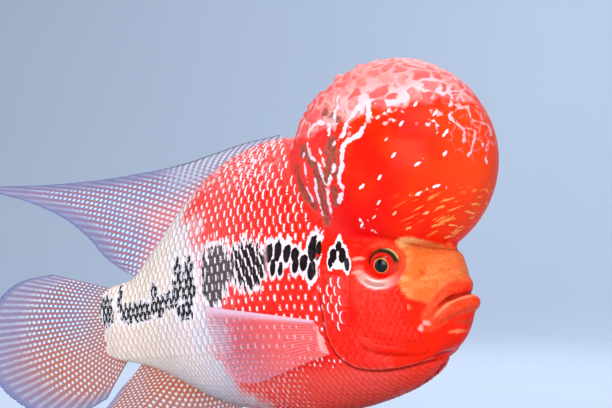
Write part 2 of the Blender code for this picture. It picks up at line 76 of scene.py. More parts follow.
def smooth_curve(points):
    """A smooth function through (position, value) points given in rising order of position."""
    places, values = np.array(points, float).T
    slopes = np.gradient(values, places)

    def value(at):
        at = np.clip(at, places[0], places[-1])
        i = np.clip(np.searchsorted(places, at) - 1, 0, len(places) - 2)
        span = places[i + 1] - places[i]
        t = (at - places[i]) / span
        start = (1 + 2 * t) * (1 - t) ** 2 * values[i] + t * (1 - t) ** 2 * span * slopes[i]
        end = t * t * (3 - 2 * t) * values[i + 1] + t * t * (t - 1) * span * slopes[i + 1]
        return start + end

    return value


back_height = smooth_curve(BACK)
belly_height = smooth_curve(BELLY)
half_width = smooth_curve(HALF_WIDTH)
widest_level = smooth_curve(WIDEST_LEVEL)
print("depth at the middle:", round(float(back_height(98) - belly_height(98)), 1), "mm")


# %% [markdown]
# ## The pose
# The model is made straight, where patterns are easy to place, and bent last. The tail swings a little to
# the fish's left, the fin trails back, and the whole fish is tipped head up over its stand.

# %% Pose
PITCH = math.radians(5)
TAIL_BEND = math.radians(5)
FIN_BEND = math.radians(-9)
TAIL_FIN_LENGTH = 69
TAIL_BEND_FROM = 95
AXIS_HEIGHT = 90
MIDDLE = 99.5


def heading(x):
    """The sideways turn of the fish's axis at x, in radians."""
    body = TAIL_BEND * np.clip((TAIL_BEND_FROM - x) / TAIL_BEND_FROM, 0, 1)
    return body + (FIN_BEND - TAIL_BEND) * np.clip(-x / TAIL_FIN_LENGTH, 0, 1.2)


def pose(points):
    """Straight-fish millimetres to metres over the stand."""
    points = np.asarray(points, float).reshape(-1, 3)
    along = np.linspace(-100, 200, 601)
    step = along[1] - along[0]
    turn = heading(along)
    axis_x = np.cumsum(np.cos(turn)) * step
    axis_y = -np.cumsum(np.sin(turn)) * step
    axis_x -= np.interp(MIDDLE, along, axis_x)
    axis_y -= np.interp(MIDDLE, along, axis_y)
    angle = np.interp(points[:, 0], along, turn)
    x = np.interp(points[:, 0], along, axis_x) + points[:, 1] * np.sin(angle)
    y = np.interp(points[:, 0], along, axis_y) + points[:, 1] * np.cos(angle)
    z = points[:, 2]
    tipped_x = x * math.cos(PITCH) - z * math.sin(PITCH)
    tipped_z = x * math.sin(PITCH) + z * math.cos(PITCH)
    return np.column_stack([tipped_x, y, tipped_z + AXIS_HEIGHT]) * MM


print("tail root over the floor:", pose([(0, 0, 0)])[0].round(3))

# %% [markdown]
# ## Small helpers for meshes
# Thousands of scales are quicker to hand over as arrays than to build one by one, so each mesh goes to
# Blender in one go. The fish's meshes keep their own values on their points, and all but the eyes get one
# map named OFBake for their colours.

# %% Mesh helpers


def ramp(value, start, end):
    """A smooth step from 0 at start to 1 at end."""
    t = np.clip((value - start) / (end - start), 0, 1)
    return t * t * (3 - 2 * t)


def bell(value, centre, spread):
    return np.exp(-(((value - centre) / spread) ** 2))


def new_mesh(name, points, faces):
    """A mesh from arrays. faces is an array with one row of corners for each face."""
    mesh = bpy.data.meshes.new(name)
    faces = np.asarray(faces, np.int32)
    count, sides = faces.shape
    mesh.vertices.add(len(points))
    mesh.vertices.foreach_set("co", np.asarray(points, np.float32).ravel())
    mesh.loops.add(count * sides)
    mesh.loops.foreach_set("vertex_index", faces.ravel())
    mesh.polygons.add(count)
    mesh.polygons.foreach_set("loop_start", np.arange(0, count * sides, sides, dtype=np.int32))
    mesh.polygons.foreach_set("use_smooth", np.full(count, True))
    mesh.update(calc_edges=True)
    return mesh


def store(mesh, name, *columns):
    """Keeps one number or one triple for each point under a name that a material can read."""
    values = np.asarray(columns[0] if len(columns) == 1 else np.column_stack(columns), np.float32)
    kind = "FLOAT" if values.ndim == 1 else "FLOAT_VECTOR"
    layer = mesh.attributes.new(name, kind, "POINT")
    layer.data.foreach_set("value" if values.ndim == 1 else "vector", values.ravel())


def bake_map(mesh, places):
    """The OFBake map, from one (u, v) for each corner."""
    layer = mesh.uv_layers.new(name="OFBake")
    layer.uv.foreach_set("vector", np.asarray(places, np.float32).ravel())
    layer.active_render = True


def read(items, name):
    """One whole number of each item of a mesh."""
    numbers = np.empty(len(items), np.int32)
    items.foreach_get(name, numbers)
    return numbers


def read_triples(mesh, name):
    """The places or the normals of a mesh's points."""
    triples = np.empty(len(mesh.vertices) * 3, np.float32)
    mesh.vertices.foreach_get(name, triples)
    return triples.reshape(-1, 3).astype(float)


def add_piece(name, mesh, *nodes, slot=None):
    """Puts a mesh in the scene, on the one body that there is, in place of the solids that it stands for."""
    piece = bpy.data.objects.new(name, mesh)
    bpy.context.scene.collection.objects.link(piece)
    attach(piece, "root")
    if nodes:
        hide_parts(*nodes)
    return piece


print("helpers ready, with one millimetre as", MM, "m")

# %% [markdown]
# ## The creases of the head
# The hump's fold, the free edge of the gill cover, the ridge across the cheek and the line of the mouth are
# kept as lines in side view. A point's distance from such a line says how far the skin rises or sinks.

# %% Creases
HUMP_EDGE = ((70, 104), (88, 84), (96, 69), (104, 54), (117, 38.5), (131, 30), (148, 27), (158, 23.8),
             (166, 21.8), (175, 20.8), (200, 17))
GILL_EDGE = ((114, 44), (120, 30), (122, 18), (122.8, 8), (123.4, -3), (123.8, -12), (126.6, -19),
             (131, -23.6), (136, -26), (142, -26.9), (149, -26.7), (156, -25.6), (163, -23.8), (168.5, -22.2),
             (190, -19))
CHEEK_RIDGE = ((139, 24), (137.6, 12), (137, 0), (137, -9), (139.7, -15.6), (145, -18.6), (153, -20),
               (160, -19.5))
MOUTH_LINE = ((200, 7), (184, 4), (178, 2.6), (173, 0.8), (169, -2.3), (165.4, -6.0), (163.4, -9.2))


def smooth_path(points, pieces=4):
    points = np.array(points, float)
    share = np.arange(len(points))
    at = np.linspace(0, len(points) - 1, (len(points) - 1) * pieces + 1)
    return np.column_stack([smooth_curve(list(zip(share, column)))(at) for column in points.T])


def distance_to(line, x, z):
    """The distance of each (x, z) from a line of points, below nought on the line's right-hand side."""
    path = smooth_path(line, 4)
    best = np.full(x.shape, 1e9)
    side = np.zeros(x.shape)
    for (ax, az), (bx, bz) in zip(path[:-1], path[1:]):
        dx, dz = bx - ax, bz - az
        t = np.clip(((x - ax) * dx + (z - az) * dz) / (dx * dx + dz * dz), 0, 1)
        away = np.hypot(x - ax - t * dx, z - az - t * dz)
        turn = dx * (z - az) - dz * (x - ax)
        closer = away < best
        best = np.where(closer, away, best)
        side = np.where(closer, np.sign(turn), side)
    return best * side


def relief(points):
    """How far the skin stands out: the gill cover's step, the cheek ridge, the eye's rim, the folds."""
    x, y, z = points.T
    outer = ramp(abs(y), 7, 12)
    behind_face = ramp(x, 182, 168) * ramp(z, 32, 22)
    cover = distance_to(GILL_EDGE, x, z)
    out = 1.5 * ramp(cover, -0.3, 0.9) * np.exp(-np.clip(cover, 0, None) / 9)
    out -= 0.6 * bell(cover, -1.2, 1.4)
    out *= outer * behind_face
    out -= 1.6 * bell(cover, -0.4, 1.6) * ramp(x, 157, 163) * ramp(x, 184, 172)
    ridge = distance_to(CHEEK_RIDGE, x, z)
    fold = 0.6 * bell(ridge, 0.6, 1.3) - 0.8 * bell(ridge, -1.8, 1.3)
    out += fold * outer * ramp(x, 160, 152) * ramp(z, 24, 16)
    fold = 0.35 * bell(ridge, 7, 1.6) - 0.3 * bell(ridge, 4.6, 1.4)
    out += fold * outer * ramp(x, 158, 150) * ramp(z, 8, 0)
    from_eye = np.hypot(x - EYE_CENTRE[0], z - EYE_CENTRE[2])
    out += 1.0 * bell(from_eye, EYE_RADIUS + 1.3, 1.7) * outer
    out -= 2.6 * ramp(from_eye, EYE_RADIUS - 0.2, EYE_RADIUS - 2.6) * outer
    crease = distance_to(HUMP_EDGE, x, z)
    out -= 0.9 * bell(crease, 0, 1.6) * ramp(x, 92, 98)
    mouth = distance_to(MOUTH_LINE, x, z)
    out -= 1.5 * bell(mouth, 0, 0.6) * (0.35 * ramp(x, 162, 165) + 0.65 * ramp(x, 166, 170))
    out -= 1.5 * bell(np.hypot(x - NOSTRIL[0], z - NOSTRIL[2]), 0, 1.1) * ramp(abs(y), 3, 8)
    return out


print("places on the creases:", sum(map(len, (HUMP_EDGE, GILL_EDGE, CHEEK_RIDGE, MOUTH_LINE))))

# %% [markdown]
# ## One skin over the whole fish
# A sculptor would join clay balls and smooth the joins. The same is done here: rings for the body, a ball
# for the hump and two tubes for the lips are fused with a voxel remesh, smoothed, then pushed in and out.

# %% Flesh
SKIN_VOXEL = 0.95
SMOOTHINGS = 7
COAT_DEPTH = 0.5


def body_rings(rings=70, sides=48):
    share = 1 - (1 - np.linspace(0, 1, rings)) ** 1.7
    x = np.repeat(share * BACK[-1][0], sides)
    angle = np.tile(np.linspace(0, 2 * math.pi, sides, endpoint=False), rings)
    top, bottom, wide = back_height(x), belly_height(x), half_width(x)
    level = np.minimum(np.maximum(widest_level(x), bottom * 0.5), top * 0.5 + bottom * 0.5)
    up = np.sin(angle)
    y = np.sign(np.cos(angle)) * abs(np.cos(angle)) ** np.where(up > 0, 1.0, 0.85) * wide
    return np.column_stack([x, y, level + up * np.where(up > 0, top - level, level - bottom)]), rings, sides


def add_rings(shape):
    points, rings, sides = body_rings()
    made = [shape.verts.new(p) for p in points]
    for i in range(rings - 1):
        for j in range(sides):
            k = (j + 1) % sides
            shape.faces.new([made[n] for n in (i * sides + j, (i + 1) * sides + j, (i + 1) * sides + k,
                                               i * sides + k)])
    shape.faces.new(made[:sides])
    shape.faces.new(made[-sides:][::-1])


def add_ball(shape, centre, half_size):
    made = bmesh.ops.create_uvsphere(shape, u_segments=64, v_segments=40, radius=1)["verts"]
    for vertex in made:
        vertex.co = Vector(centre) + Vector(half_size) * vertex.co


def add_lip(shape, line, radii):
    """A string of close balls along the lip, which the remesh fuses into a tube."""
    whole = np.array(list(line) + [(x, -y, z) for x, y, z in line[-2::-1]], float)
    sizes = np.array(list(radii) + list(radii[-2::-1]), float)[:, None]
    path = smooth_path(np.hstack([whole, sizes]), 7)
    for x, y, z, size in path:
        made = bmesh.ops.create_icosphere(shape, subdivisions=2, radius=size)["verts"]
        for vertex in made:
            vertex.co += Vector((x, y, z))


shape = bmesh.new()
add_rings(shape)
add_ball(shape, HUMP_CENTRE, HUMP_HALF_SIZE)
add_lip(shape, UPPER_LIP, UPPER_LIP_RADII)
add_lip(shape, LOWER_LIP, LOWER_LIP_RADII)
bmesh.ops.recalc_face_normals(shape, faces=shape.faces)
rough_mesh = bpy.data.meshes.new("rough")
shape.to_mesh(rough_mesh)
shape.free()
rough = bpy.data.objects.new("rough", rough_mesh)
bpy.context.scene.collection.objects.link(rough)
fuse = rough.modifiers.new("fuse", "REMESH")
fuse.mode = "VOXEL"
fuse.voxel_size = SKIN_VOXEL
soften = rough.modifiers.new("soften", "SMOOTH")
soften.factor = 0.5
soften.iterations = SMOOTHINGS
skin_mesh = bpy.data.meshes.new_from_object(rough.evaluated_get(bpy.context.evaluated_depsgraph_get()))
bpy.data.objects.remove(rough)
plain = read_triples(skin_mesh, "co")
print("skin points:", len(plain))

# %% [markdown]
# ## The network on the hump
# Pale lines run between round red islands on the top of the hump, and loose white dashes lie on its sides.
# Both come from scattered seeds: a line is where two seeds are equally near, and a dash lies on one seed.

# %% Hump pattern
FAR = 99.0
WIDEST_ISLAND = 9
DASH_SPACE = 6.6
DASH_REACH = 1.9


def stretched(points):
    """The same points in a space that is squeezed where the hump's cells are long, behind and in front."""
    way = (points - HUMP_CENTRE) / HUMP_HALF_SIZE
    behind = ramp(way[:, 0], -0.30, -0.62) * ramp(way[:, 2], 0.75, 0.35)
    front = ramp(way[:, 0], 0.62, 0.88)
    squeezed = np.array(points, float)
    squeezed[:, 2] = HUMP_CENTRE[2] + (points[:, 2] - HUMP_CENTRE[2]) * (1 - 0.6 * behind - 0.35 * front)
    return squeezed


def scattered(tries, apart):
    """Random points on the hump, each at least its own distance from those before it."""
    ways = chance.normal(size=(tries, 3))
    ways /= np.linalg.norm(ways, axis=1)[:, None]
    ways = ways[ways[:, 2] > -0.9]
    places = stretched(HUMP_CENTRE + HUMP_HALF_SIZE * ways)
    spaces = apart(ways)
    kept = [0]
    for i in range(1, len(places)):
        if (np.linalg.norm(places[kept] - places[i], axis=1) > spaces[i]).all():
            kept.append(i)
    return places[kept]


def two_nearest(seeds, points, wanted):
    """For each wanted point, the nearest seed's number and its two smallest distances."""
    tree = kdtree.KDTree(len(seeds))
    for number, seed in enumerate(seeds):
        tree.insert(seed, number)
    tree.balance()
    first = np.zeros(len(points), int)
    near = np.full(len(points), FAR)
    next_near = np.full(len(points), FAR)
    for i in np.flatnonzero(wanted):
        (_, first[i], near[i]), (_, _, next_near[i]) = tree.find_n(points[i], 2)
    return first, near, next_near


way = (plain - HUMP_CENTRE) / HUMP_HALF_SIZE
way_length = np.linalg.norm(way, axis=1)
crease = distance_to(HUMP_EDGE, plain[:, 0], plain[:, 2])
on_hump = (crease > -4) & (way_length > 0.9)
islands = scattered(
    2600, lambda w: 4.3 + 2.4 * abs(w[:, 1]) * ramp(w[:, 2], 0.8, 0.5) - 1.4 * ramp(w[:, 0], 0.6, 0.9))
island_tint = chance.random(len(islands))
warped = plain.copy()
for scale, reach in ((0.11, 4.5), (0.3, 1.3)):
    for axis in range(3):
        shift = Vector((40 * axis, 0, 7))
        moves = [noise.noise(Vector(p) * scale + shift) for p in plain[on_hump]]
        warped[on_hump, axis] += reach * np.array(moves)
own_island, near, next_near = two_nearest(islands, stretched(warped), on_hump)
net = np.clip((next_near - near) / 2, 0, WIDEST_ISLAND)
dashes = scattered(1200, lambda w: np.full(len(w), DASH_SPACE))
first, _, _ = two_nearest(dashes, stretched(plain), on_hump)
fan = np.clip((dashes[:, 0] - 120) / 60, 0, 1) * ramp(dashes[:, 2], 85, 35)
lean = np.radians(66 - 52 * fan + 9 * chance.normal(size=len(dashes)))[first]
offset = stretched(plain) - dashes[first]
dash_along = offset[:, 0] * np.cos(lean) + offset[:, 2] * np.sin(lean)
dash_across = -offset[:, 0] * np.sin(lean) + offset[:, 2] * np.cos(lean)
dash_size = chance.random(len(dashes))[first]
past_end = np.maximum(abs(dash_along) - 0.6 - 1.2 * dash_size, 0)
dash_size[np.hypot(past_end, dash_across) > DASH_REACH] = 0
print("islands:", len(islands), "dashes:", len(dashes))

# %% [markdown]
# ## Long strokes on the hump
# A few long pale strokes frame the smooth red side, with brown ones between them behind. Such strokes follow
# no rule, so each is drawn as a line of (x, z) places on the ball with its own half width.

# %% Strokes
WHITE_STROKES = (
    (1.1, ((151, 84), (152, 78), (148, 71), (141, 67), (139, 59), (137, 53), (138, 49), (135, 44))),
    (1.0, ((147, 83), (142, 77), (141, 73), (136, 68))), (0.9, ((136, 89), (134, 80))),
    (1.0, ((129, 78), (123, 77), (120, 71), (123, 64), (127, 60), (129, 52))), (0.9, ((128, 67), (130, 60))),
    (0.9, ((136, 60), (132, 53), (130, 48), (129, 38))), (0.9, ((118, 65), (119, 54))),
    (0.8, ((132, 77), (133, 72))), (1.0, ((124, 54), (124, 40))), (1.1, ((118, 51), (120, 46))),
    (0.8, ((156, 77), (159, 78), (163, 75))),
    (0.8, ((175, 72), (178, 73), (179, 69))), (0.6, ((143, 37), (143, 36))), (0.6, ((143, 32), (144, 32))),
    (0.6, ((147, 31), (148, 30))), (0.8, ((182, 83), (183, 74), (187, 70), (190, 68), (188, 58))),
    (0.7, ((187, 70), (187, 65))), (0.7, ((184, 78), (187, 79), (189, 73), (192, 70), (192, 60))),
    (0.7, ((184, 80), (188, 86))), (0.6, ((191, 66), (192, 55))))
BROWN_STROKES = ((2.5, ((117, 68), (126, 57), (126, 36))), (2.2, ((112, 60), (115, 50), (121, 44))),
                 (3.2, ((134, 69), (135, 57))), (1.7, ((128, 83), (138, 77))), (2.4, ((133, 58), (129, 53))),
                 (1.8, ((134, 50), (133, 43))))


def near_line(points, line):
    """The distance of each point from a line in space, with both sides of the fish folded together."""
    folded = np.column_stack([points[:, 0], -abs(points[:, 1]), points[:, 2]])
    best = np.full(len(points), FAR)
    path = smooth_path(line, 5)
    for a, b in zip(path[:-1], path[1:]):
        t = np.clip((folded - a) @ (b - a) / ((b - a) @ (b - a)), 0, 1)
        best = np.minimum(best, np.linalg.norm(folded - a - t[:, None] * (b - a), axis=1))
    return best


def on_ball(line):
    """The places in space, on the hump's right side, of a line's (x, z) places."""
    places = []
    for x, z in line:
        ahead, up = (x - HUMP_CENTRE[0]) / HUMP_HALF_SIZE[0], (z - HUMP_CENTRE[2]) / HUMP_HALF_SIZE[2]
        places.append((x, -HUMP_HALF_SIZE[1] * math.sqrt(max(1 - ahead * ahead - up * up, 0)), z))
    return places


def past_strokes(points, wanted, strokes):
    """How far each wanted point lies outside the nearest stroke, below nought inside it. The strokes of the
    left side drift a little, so that the two sides aren't alike."""
    past = np.full(len(points), 9.0)
    drift = ramp(points[:, 1], 0, 6)
    points = points + drift[:, None] * np.column_stack([6 * np.sin(points[:, 2] / 9), 0 * drift,
                                                        5 * np.sin(points[:, 0] / 11)])
    for half, line in strokes:
        past[wanted] = np.minimum(past[wanted], near_line(points[wanted], on_ball(line)) - half)
    return past


white_past = past_strokes(plain, on_hump, WHITE_STROKES)
brown_past = past_strokes(plain, on_hump, BROWN_STROKES)
print("strokes:", len(WHITE_STROKES), "pale,", len(BROWN_STROKES), "brown")

# %% [markdown]
# ## Regions of the skin
# Painting by hand would need a picture. Regions are instead worked out from each point's own place: the
# tan face between eye and lip, the lips, the pale ring under the eye, the dark patches behind the hump.

# %% Regions
TAN_FACE = ((154.4, 24.8), (157, 26.8), (161.5, 26.8), (166.5, 24.4), (171, 22.1), (176, 21.5), (178, 15),
            (180, 8.5), (178.6, 6.4), (173, 7), (168.5, 3.6), (165, -1), (162, 0.5), (158.2, 1.9),
            (155.9, 5.9), (154.8, 8.8), (157.2, 13.8), (156.4, 18.2), (154.6, 21.6))
HEAD_MARK = (131.3, 21.3)
MARKS = ((103, 23.5, 7.5, 3.6), (117, 23, 7.5, 3.2), (104, 17.2, 5.5, 4.0), (115, 16.8, 4.5, 3.6),
         (87, 21.2, 8.4, 8.8), (70.5, 21.5, 8.2, 9), (68, 13, 5.5, 7), (53, 15, 3.6, 11), (46, 17, 3.0, 9),
         (50, 3, 5, 3.6), (40, 8.5, 6, 3.6), (31, 6.5, 5, 4.5), (30, 13.5, 2.4, 3.5), (20, 4.5, 7, 4.2),
         (11, 3.8, 5.5, 4.2), (5.5, 10, 1.6, 7), (-4, 5.2, 5, 6.4))
PALE_EDGE = smooth_curve(((-46, 76), (-33, 75), (-15, 73), (5, 67), (20, 61), (30, 57), (50, 51), (62, 46),
                          (76, 40)))


def inside(outline, x, z):
    """How far each (x, z) lies inside a closed outline, below nought outside it."""
    best = np.full(x.shape, 1e9)
    within = np.zeros(x.shape, bool)
    for (ax, az), (bx, bz) in zip(outline, outline[1:] + outline[:1]):
        dx, dz = bx - ax, bz - az
        t = np.clip(((x - ax) * dx + (z - az) * dz) / (dx * dx + dz * dz), 0, 1)
        best = np.minimum(best, np.hypot(x - ax - t * dx, z - az - t * dz))
        crosses = ((az > z) != (bz > z)) & (x < (bx - ax) * (z - az) / (bz - az + 1e-12) + ax)
        within ^= crosses
    return np.where(within, best, -best)


def marks_at(x, z):
    """The nearest dark mark's measure at (x, z): under 1 inside a mark."""
    return np.min([np.hypot((x - mx) / sx, (z - mz) / sz) for mx, mz, sx, sz in MARKS], axis=0)


x, y, z = plain.T
from_eye = np.hypot(x - EYE_CENTRE[0], z - EYE_CENTRE[2])
eye_turn = np.degrees(np.arctan2(z - EYE_CENTRE[2], x - EYE_CENTRE[0]))
tan_face = ramp(inside(TAN_FACE, x, z), -1.8, 1.6)
upper_lip = ramp(near_line(plain, UPPER_LIP), 3.7, 2.3) * ramp(distance_to(MOUTH_LINE, x, z), 0.6, -0.4)
lower_lip = ramp(near_line(plain, LOWER_LIP), 4.6, 3.7) * ramp(distance_to(MOUTH_LINE, x, z), -0.6, 0.4)
lip = np.maximum(upper_lip, lower_lip)
upper_hump = ramp(crease, -0.4, 1.0) * np.maximum(ramp(way_length, 1.045, 1.005), ramp(x, 116, 126))
eye_blotch = ramp(from_eye, 6.3, 7.0) * ramp(from_eye, 11.0, 10.0) * bell(eye_turn, -108, 40)
eye_ring = ramp(from_eye, 9.8, 8.6) * ramp(abs(eye_turn - 45), 85, 60)
pale_rear = ramp(PALE_EDGE(z) - x, -4, 7)
print("points on the lips:", int((lip > 0.5).sum()), "on the tan face:", int((tan_face > 0.5).sum()))

# %% [markdown]
# ## Raise and pose the skin
# The skin lies half a millimetre inside the solids where scales will cover it, so that the scales' own
# outer faces come to the solids' surface.

# %% Skin
under_scales = ramp(distance_to(GILL_EDGE, x, z), 1, -2) * (1 - upper_hump)
lumpy = ramp(way[:, 2], 0.1, 0.7) * (1 + 0.9 * ramp(way[:, 0], 0.2, -0.4))
lump = np.clip(net, 0, 3) / 3 * ramp(way[:, 2], 0.1, 0.7) * upper_hump
knobs = np.array([noise.noise(Vector(p) * 0.15) if near_it else 0.0 for p, near_it in zip(plain, on_hump)])
hollow = ramp(knobs, 0.15, -0.2) * ramp(way[:, 2], 0.1, 0.5) * ramp(way[:, 0], 0.35, -0.2) * upper_hump
raised = relief(plain) - COAT_DEPTH * under_scales + 0.8 * (lump - 0.7) * lumpy - 0.25 - 1.3 * hollow
final = plain + read_triples(skin_mesh, "normal") * raised[:, None]
skin_mesh.vertices.foreach_set("co", pose(final).astype(np.float32).ravel())
skin_mesh.polygons.foreach_set("use_smooth", np.full(len(skin_mesh.polygons), True))
skin_mesh.update()
store(skin_mesh, "fish", plain)
store(skin_mesh, "hump_way", way / np.maximum(way_length, 0.01)[:, None])
store(skin_mesh, "hump_net", net, island_tint[own_island], crease)
store(skin_mesh, "hump_dash", dash_along, dash_across, dash_size)
store(skin_mesh, "regions", upper_hump, tan_face, lip)
store(skin_mesh, "regions_two", pale_rear, distance_to(MOUTH_LINE, x, z), eye_blotch)
store(skin_mesh, "strokes", white_past, brown_past, 0 * x)
store(skin_mesh, "gill", distance_to(GILL_EDGE, x, z), distance_to(CHEEK_RIDGE, x, z), z)
store(skin_mesh, "eye_place", from_eye, eye_turn, eye_ring)


MAP_EDGE = 0.01
MAP_SPAN = 0.48
MAP_LENGTH = 188
DISC_SIZE = 0.23


def body_chart(points):
    """Where a point lies on the flat map of the body: x along it, the angle round its axis up it."""
    level = widest_level(points[:, 0])
    turn = np.arctan2((points[:, 2] - level) * 0.5, abs(points[:, 1])) / math.pi + 0.5
    along = MAP_EDGE + MAP_SPAN * np.clip((points[:, 0] + 4) / MAP_LENGTH, 0, 1)
    return along + np.where(points[:, 1] > 0, 0.5, 0), MAP_EDGE + MAP_SPAN * turn


def hump_chart(points):
    """The hump's two sides, each flattened to a disc."""
    way = (points - HUMP_CENTRE) / HUMP_HALF_SIZE
    way /= np.linalg.norm(way, axis=1)[:, None]
    spread = DISC_SIZE / np.sqrt(1 + abs(way[:, 1]))
    return 0.25 + way[:, 0] * spread + np.where(way[:, 1] > 0, 0.5, 0), 0.75 + way[:, 2] * spread


corners = read(skin_mesh.loops, "vertex_index")
totals = read(skin_mesh.polygons, "loop_total")
owner = np.repeat(np.arange(len(totals)), totals)
face_middle = np.column_stack([np.bincount(owner, plain[corners, k]) / totals for k in range(3)])
corner_points = plain[corners].copy()
side = np.where(face_middle[owner, 1] > 0, 1.0, -1.0)
corner_points[:, 1] = side * np.maximum(corner_points[:, 1] * side, 1e-3)
face_crease = distance_to(HUMP_EDGE, face_middle[:, 0], face_middle[:, 2])
face_way = np.linalg.norm((face_middle - HUMP_CENTRE) / HUMP_HALF_SIZE, axis=1)
is_hump = ((face_crease > 0) & (face_way > 0.9))[owner]
body_u, body_v = body_chart(corner_points)
hump_u, hump_v = hump_chart(corner_points)
bake_map(skin_mesh, np.column_stack([np.where(is_hump, hump_u, body_u), np.where(is_hump, hump_v, body_v)]))
skin = add_piece("skin", skin_mesh, "head", "hump", "lower_jaw", "gill_cover_right", "gill_cover_left",
                 "trunk", "tail_stalk", slot="skin_red")
print("skin faces:", len(skin_mesh.polygons))

# %% [markdown]
# ## Scales
# Real scales are thin plates in slanting rows, each rooted under the one before it. Laying a picture of
# them would look flat at the edges, so each is a small closed plate, bent to the flank and lifted at its
# free edge. All the plates of one side are one mesh.

# %% The flank as a sheet
TABLE_X = np.linspace(-8, 172, 361)
TABLE_PITCH = 0.5
TABLE_STEPS = 60


def flank_table(up):
    """Half sections by equal lengths from the widest level to the back or belly, with their whole lengths."""
    angle = np.linspace(0, math.pi / 2, 400)
    rows, lengths = [], []
    for x in TABLE_X:
        level = widest_level(x)
        reach = (back_height(x) - level) if up else (belly_height(x) - level)
        y = np.cos(angle) ** (1.0 if up else 0.85) * half_width(x) * min(1, 1 + x / 9.5)
        z = level + np.sin(angle) * reach * min(1, 1 + x / 40)
        run = np.concatenate([[0], np.cumsum(np.hypot(np.diff(y), np.diff(z)))])
        even = np.linspace(0, run[-1], TABLE_STEPS + 1)
        rows.append(np.column_stack([np.interp(even, run, y), np.interp(even, run, z)]))
        lengths.append(run[-1])
    return np.array(rows), np.array(lengths)


UPPER, UPPER_LENGTH = flank_table(True)
LOWER, LOWER_LENGTH = flank_table(False)


def on_flank(x, w):
    """The flank's point at x, w millimetres up (or below nought, down) from its widest level."""
    length = np.where(w >= 0, np.interp(x, TABLE_X, UPPER_LENGTH), np.interp(x, TABLE_X, LOWER_LENGTH))
    share = np.clip(abs(w) / length, 0, 1) * TABLE_STEPS
    i = np.clip(((x - TABLE_X[0]) / TABLE_PITCH).astype(int), 0, len(TABLE_X) - 2)
    j = np.clip(share.astype(int), 0, TABLE_STEPS - 1)
    s, t = ((x - TABLE_X[0]) / TABLE_PITCH - i)[..., None], (share - j)[..., None]
    found = []
    for table in (UPPER, LOWER):
        found.append((1 - s) * ((1 - t) * table[i, j] + t * table[i, j + 1])
                     + s * ((1 - t) * table[i + 1, j] + t * table[i + 1, j + 1]))
    yz = np.where((w >= 0)[..., None], found[0], found[1])
    return np.stack([x, yz[..., 0], yz[..., 1]], axis=-1)


def flank_normal(x, w):
    along = on_flank(x + 0.4, w) - on_flank(x - 0.4, w)
    up = on_flank(x, w + 0.4) - on_flank(x, w - 0.4)
    across = np.cross(up, along)
    across *= np.where(across[..., 1:2] < 0, -1, 1)
    return across / np.linalg.norm(across, axis=-1, keepdims=True)


print("flank, widest level to back at x = 98:", round(float(np.interp(98, TABLE_X, UPPER_LENGTH)), 1), "mm")

# %% [markdown]
# ## Rows of roots
# The rows run along the fish and every second one is set back by half a scale, as on a roof. The flank has
# the largest scales; those of the belly, the gill cover and the cheek are smaller.

# %% Scale rows
ROW_HEIGHT = 4.3
FRONT_PITCH = 3.95
REAR_PITCH = 3.15
BELLY_ROWS_BELOW = -25.0


def taper(x):
    return 0.70 + 0.30 * np.clip(x / 118, 0, 1.1)


def pitch_at(x):
    return REAR_PITCH + (FRONT_PITCH - REAR_PITCH) * min(x, 118) / 118


def scale_places(x_from, size, low, high, accept):
    """(x, w, pitch, row height) of the roots on one side. size is a share of the flank scales' own size."""
    x_line = [x_from]
    while x_line[-1] > -3:
        x_line.append(x_line[-1] - size * pitch_at(x_line[-1]) / 2)
    places = []
    for row in range(-34, 36):
        for i in range(row % 2, len(x_line), 2):
            x = x_line[i]
            w = row * ROW_HEIGHT * taper(x) * size
            top = np.interp(x, TABLE_X, UPPER_LENGTH) - 1.2
            bottom = -np.interp(x, TABLE_X, LOWER_LENGTH) + 1.0
            if max(bottom, low * taper(x)) < w < min(top, high * taper(x)):
                places.append((x, w, size * pitch_at(x), ROW_HEIGHT * taper(x) * size))
    places = np.array(places)
    at = on_flank(places[:, 0], places[:, 1])
    return places[accept(*at.T)]


def from_hump(x, y, z):
    return np.linalg.norm((np.column_stack([x, y, z]) - HUMP_CENTRE) / HUMP_HALF_SIZE, axis=1)


def behind_head(x, y, z):
    crease = distance_to(HUMP_EDGE, x, z)
    clear = (crease < 3.4) | ((from_hump(x, y, z) > 0.97) & (crease < 14) & (x < 120))
    return clear & ((distance_to(GILL_EDGE, x, z) < 2.6) | ((z > 29) & (x < 132)))


def on_gill_cover(x, y, z):
    ridge, crease = distance_to(CHEEK_RIDGE, x, z), distance_to(HUMP_EDGE, x, z)
    clear = np.hypot((x - HEAD_MARK[0]) / 7.4, (z - HEAD_MARK[1]) / 9) > 1
    return (distance_to(GILL_EDGE, x, z) > 1.8) & (ridge < -2.6) & (crease < -3) & clear & (x < 150)


def on_cheek(x, y, z):
    from_mouth = np.hypot(x - 163.5, z + 6)
    from_eye = np.hypot(x - EYE_CENTRE[0], z - EYE_CENTRE[2])
    return ((distance_to(CHEEK_RIDGE, x, z) > 3.5) & (from_eye > 13.4) & (inside(TAN_FACE, x, z) < -1)
            & (from_mouth > 6.5) & (x < 161) & (z < 12))


ROOTS = scale_places(127.0, 1.0, BELLY_ROWS_BELOW, 200, behind_head)
BELLY_ROOTS = scale_places(163.0, 0.68, -200, BELLY_ROWS_BELOW + 1, behind_head)
GILL_ROOTS = scale_places(150.0, 0.82, -60, 60, on_gill_cover)
CHEEK_ROOTS = scale_places(162.0, 0.56, -60, 60, on_cheek)
print("scales a side:", len(ROOTS), len(BELLY_ROOTS), len(GILL_ROOTS), len(CHEEK_ROOTS))

# %% [markdown]
# ## From roots to plates
# A flat disc would cut through its neighbours. Each plate is a small grid on the flank instead, low at its
# root, high at its round free edge, with a second grid just under it so that it is closed.

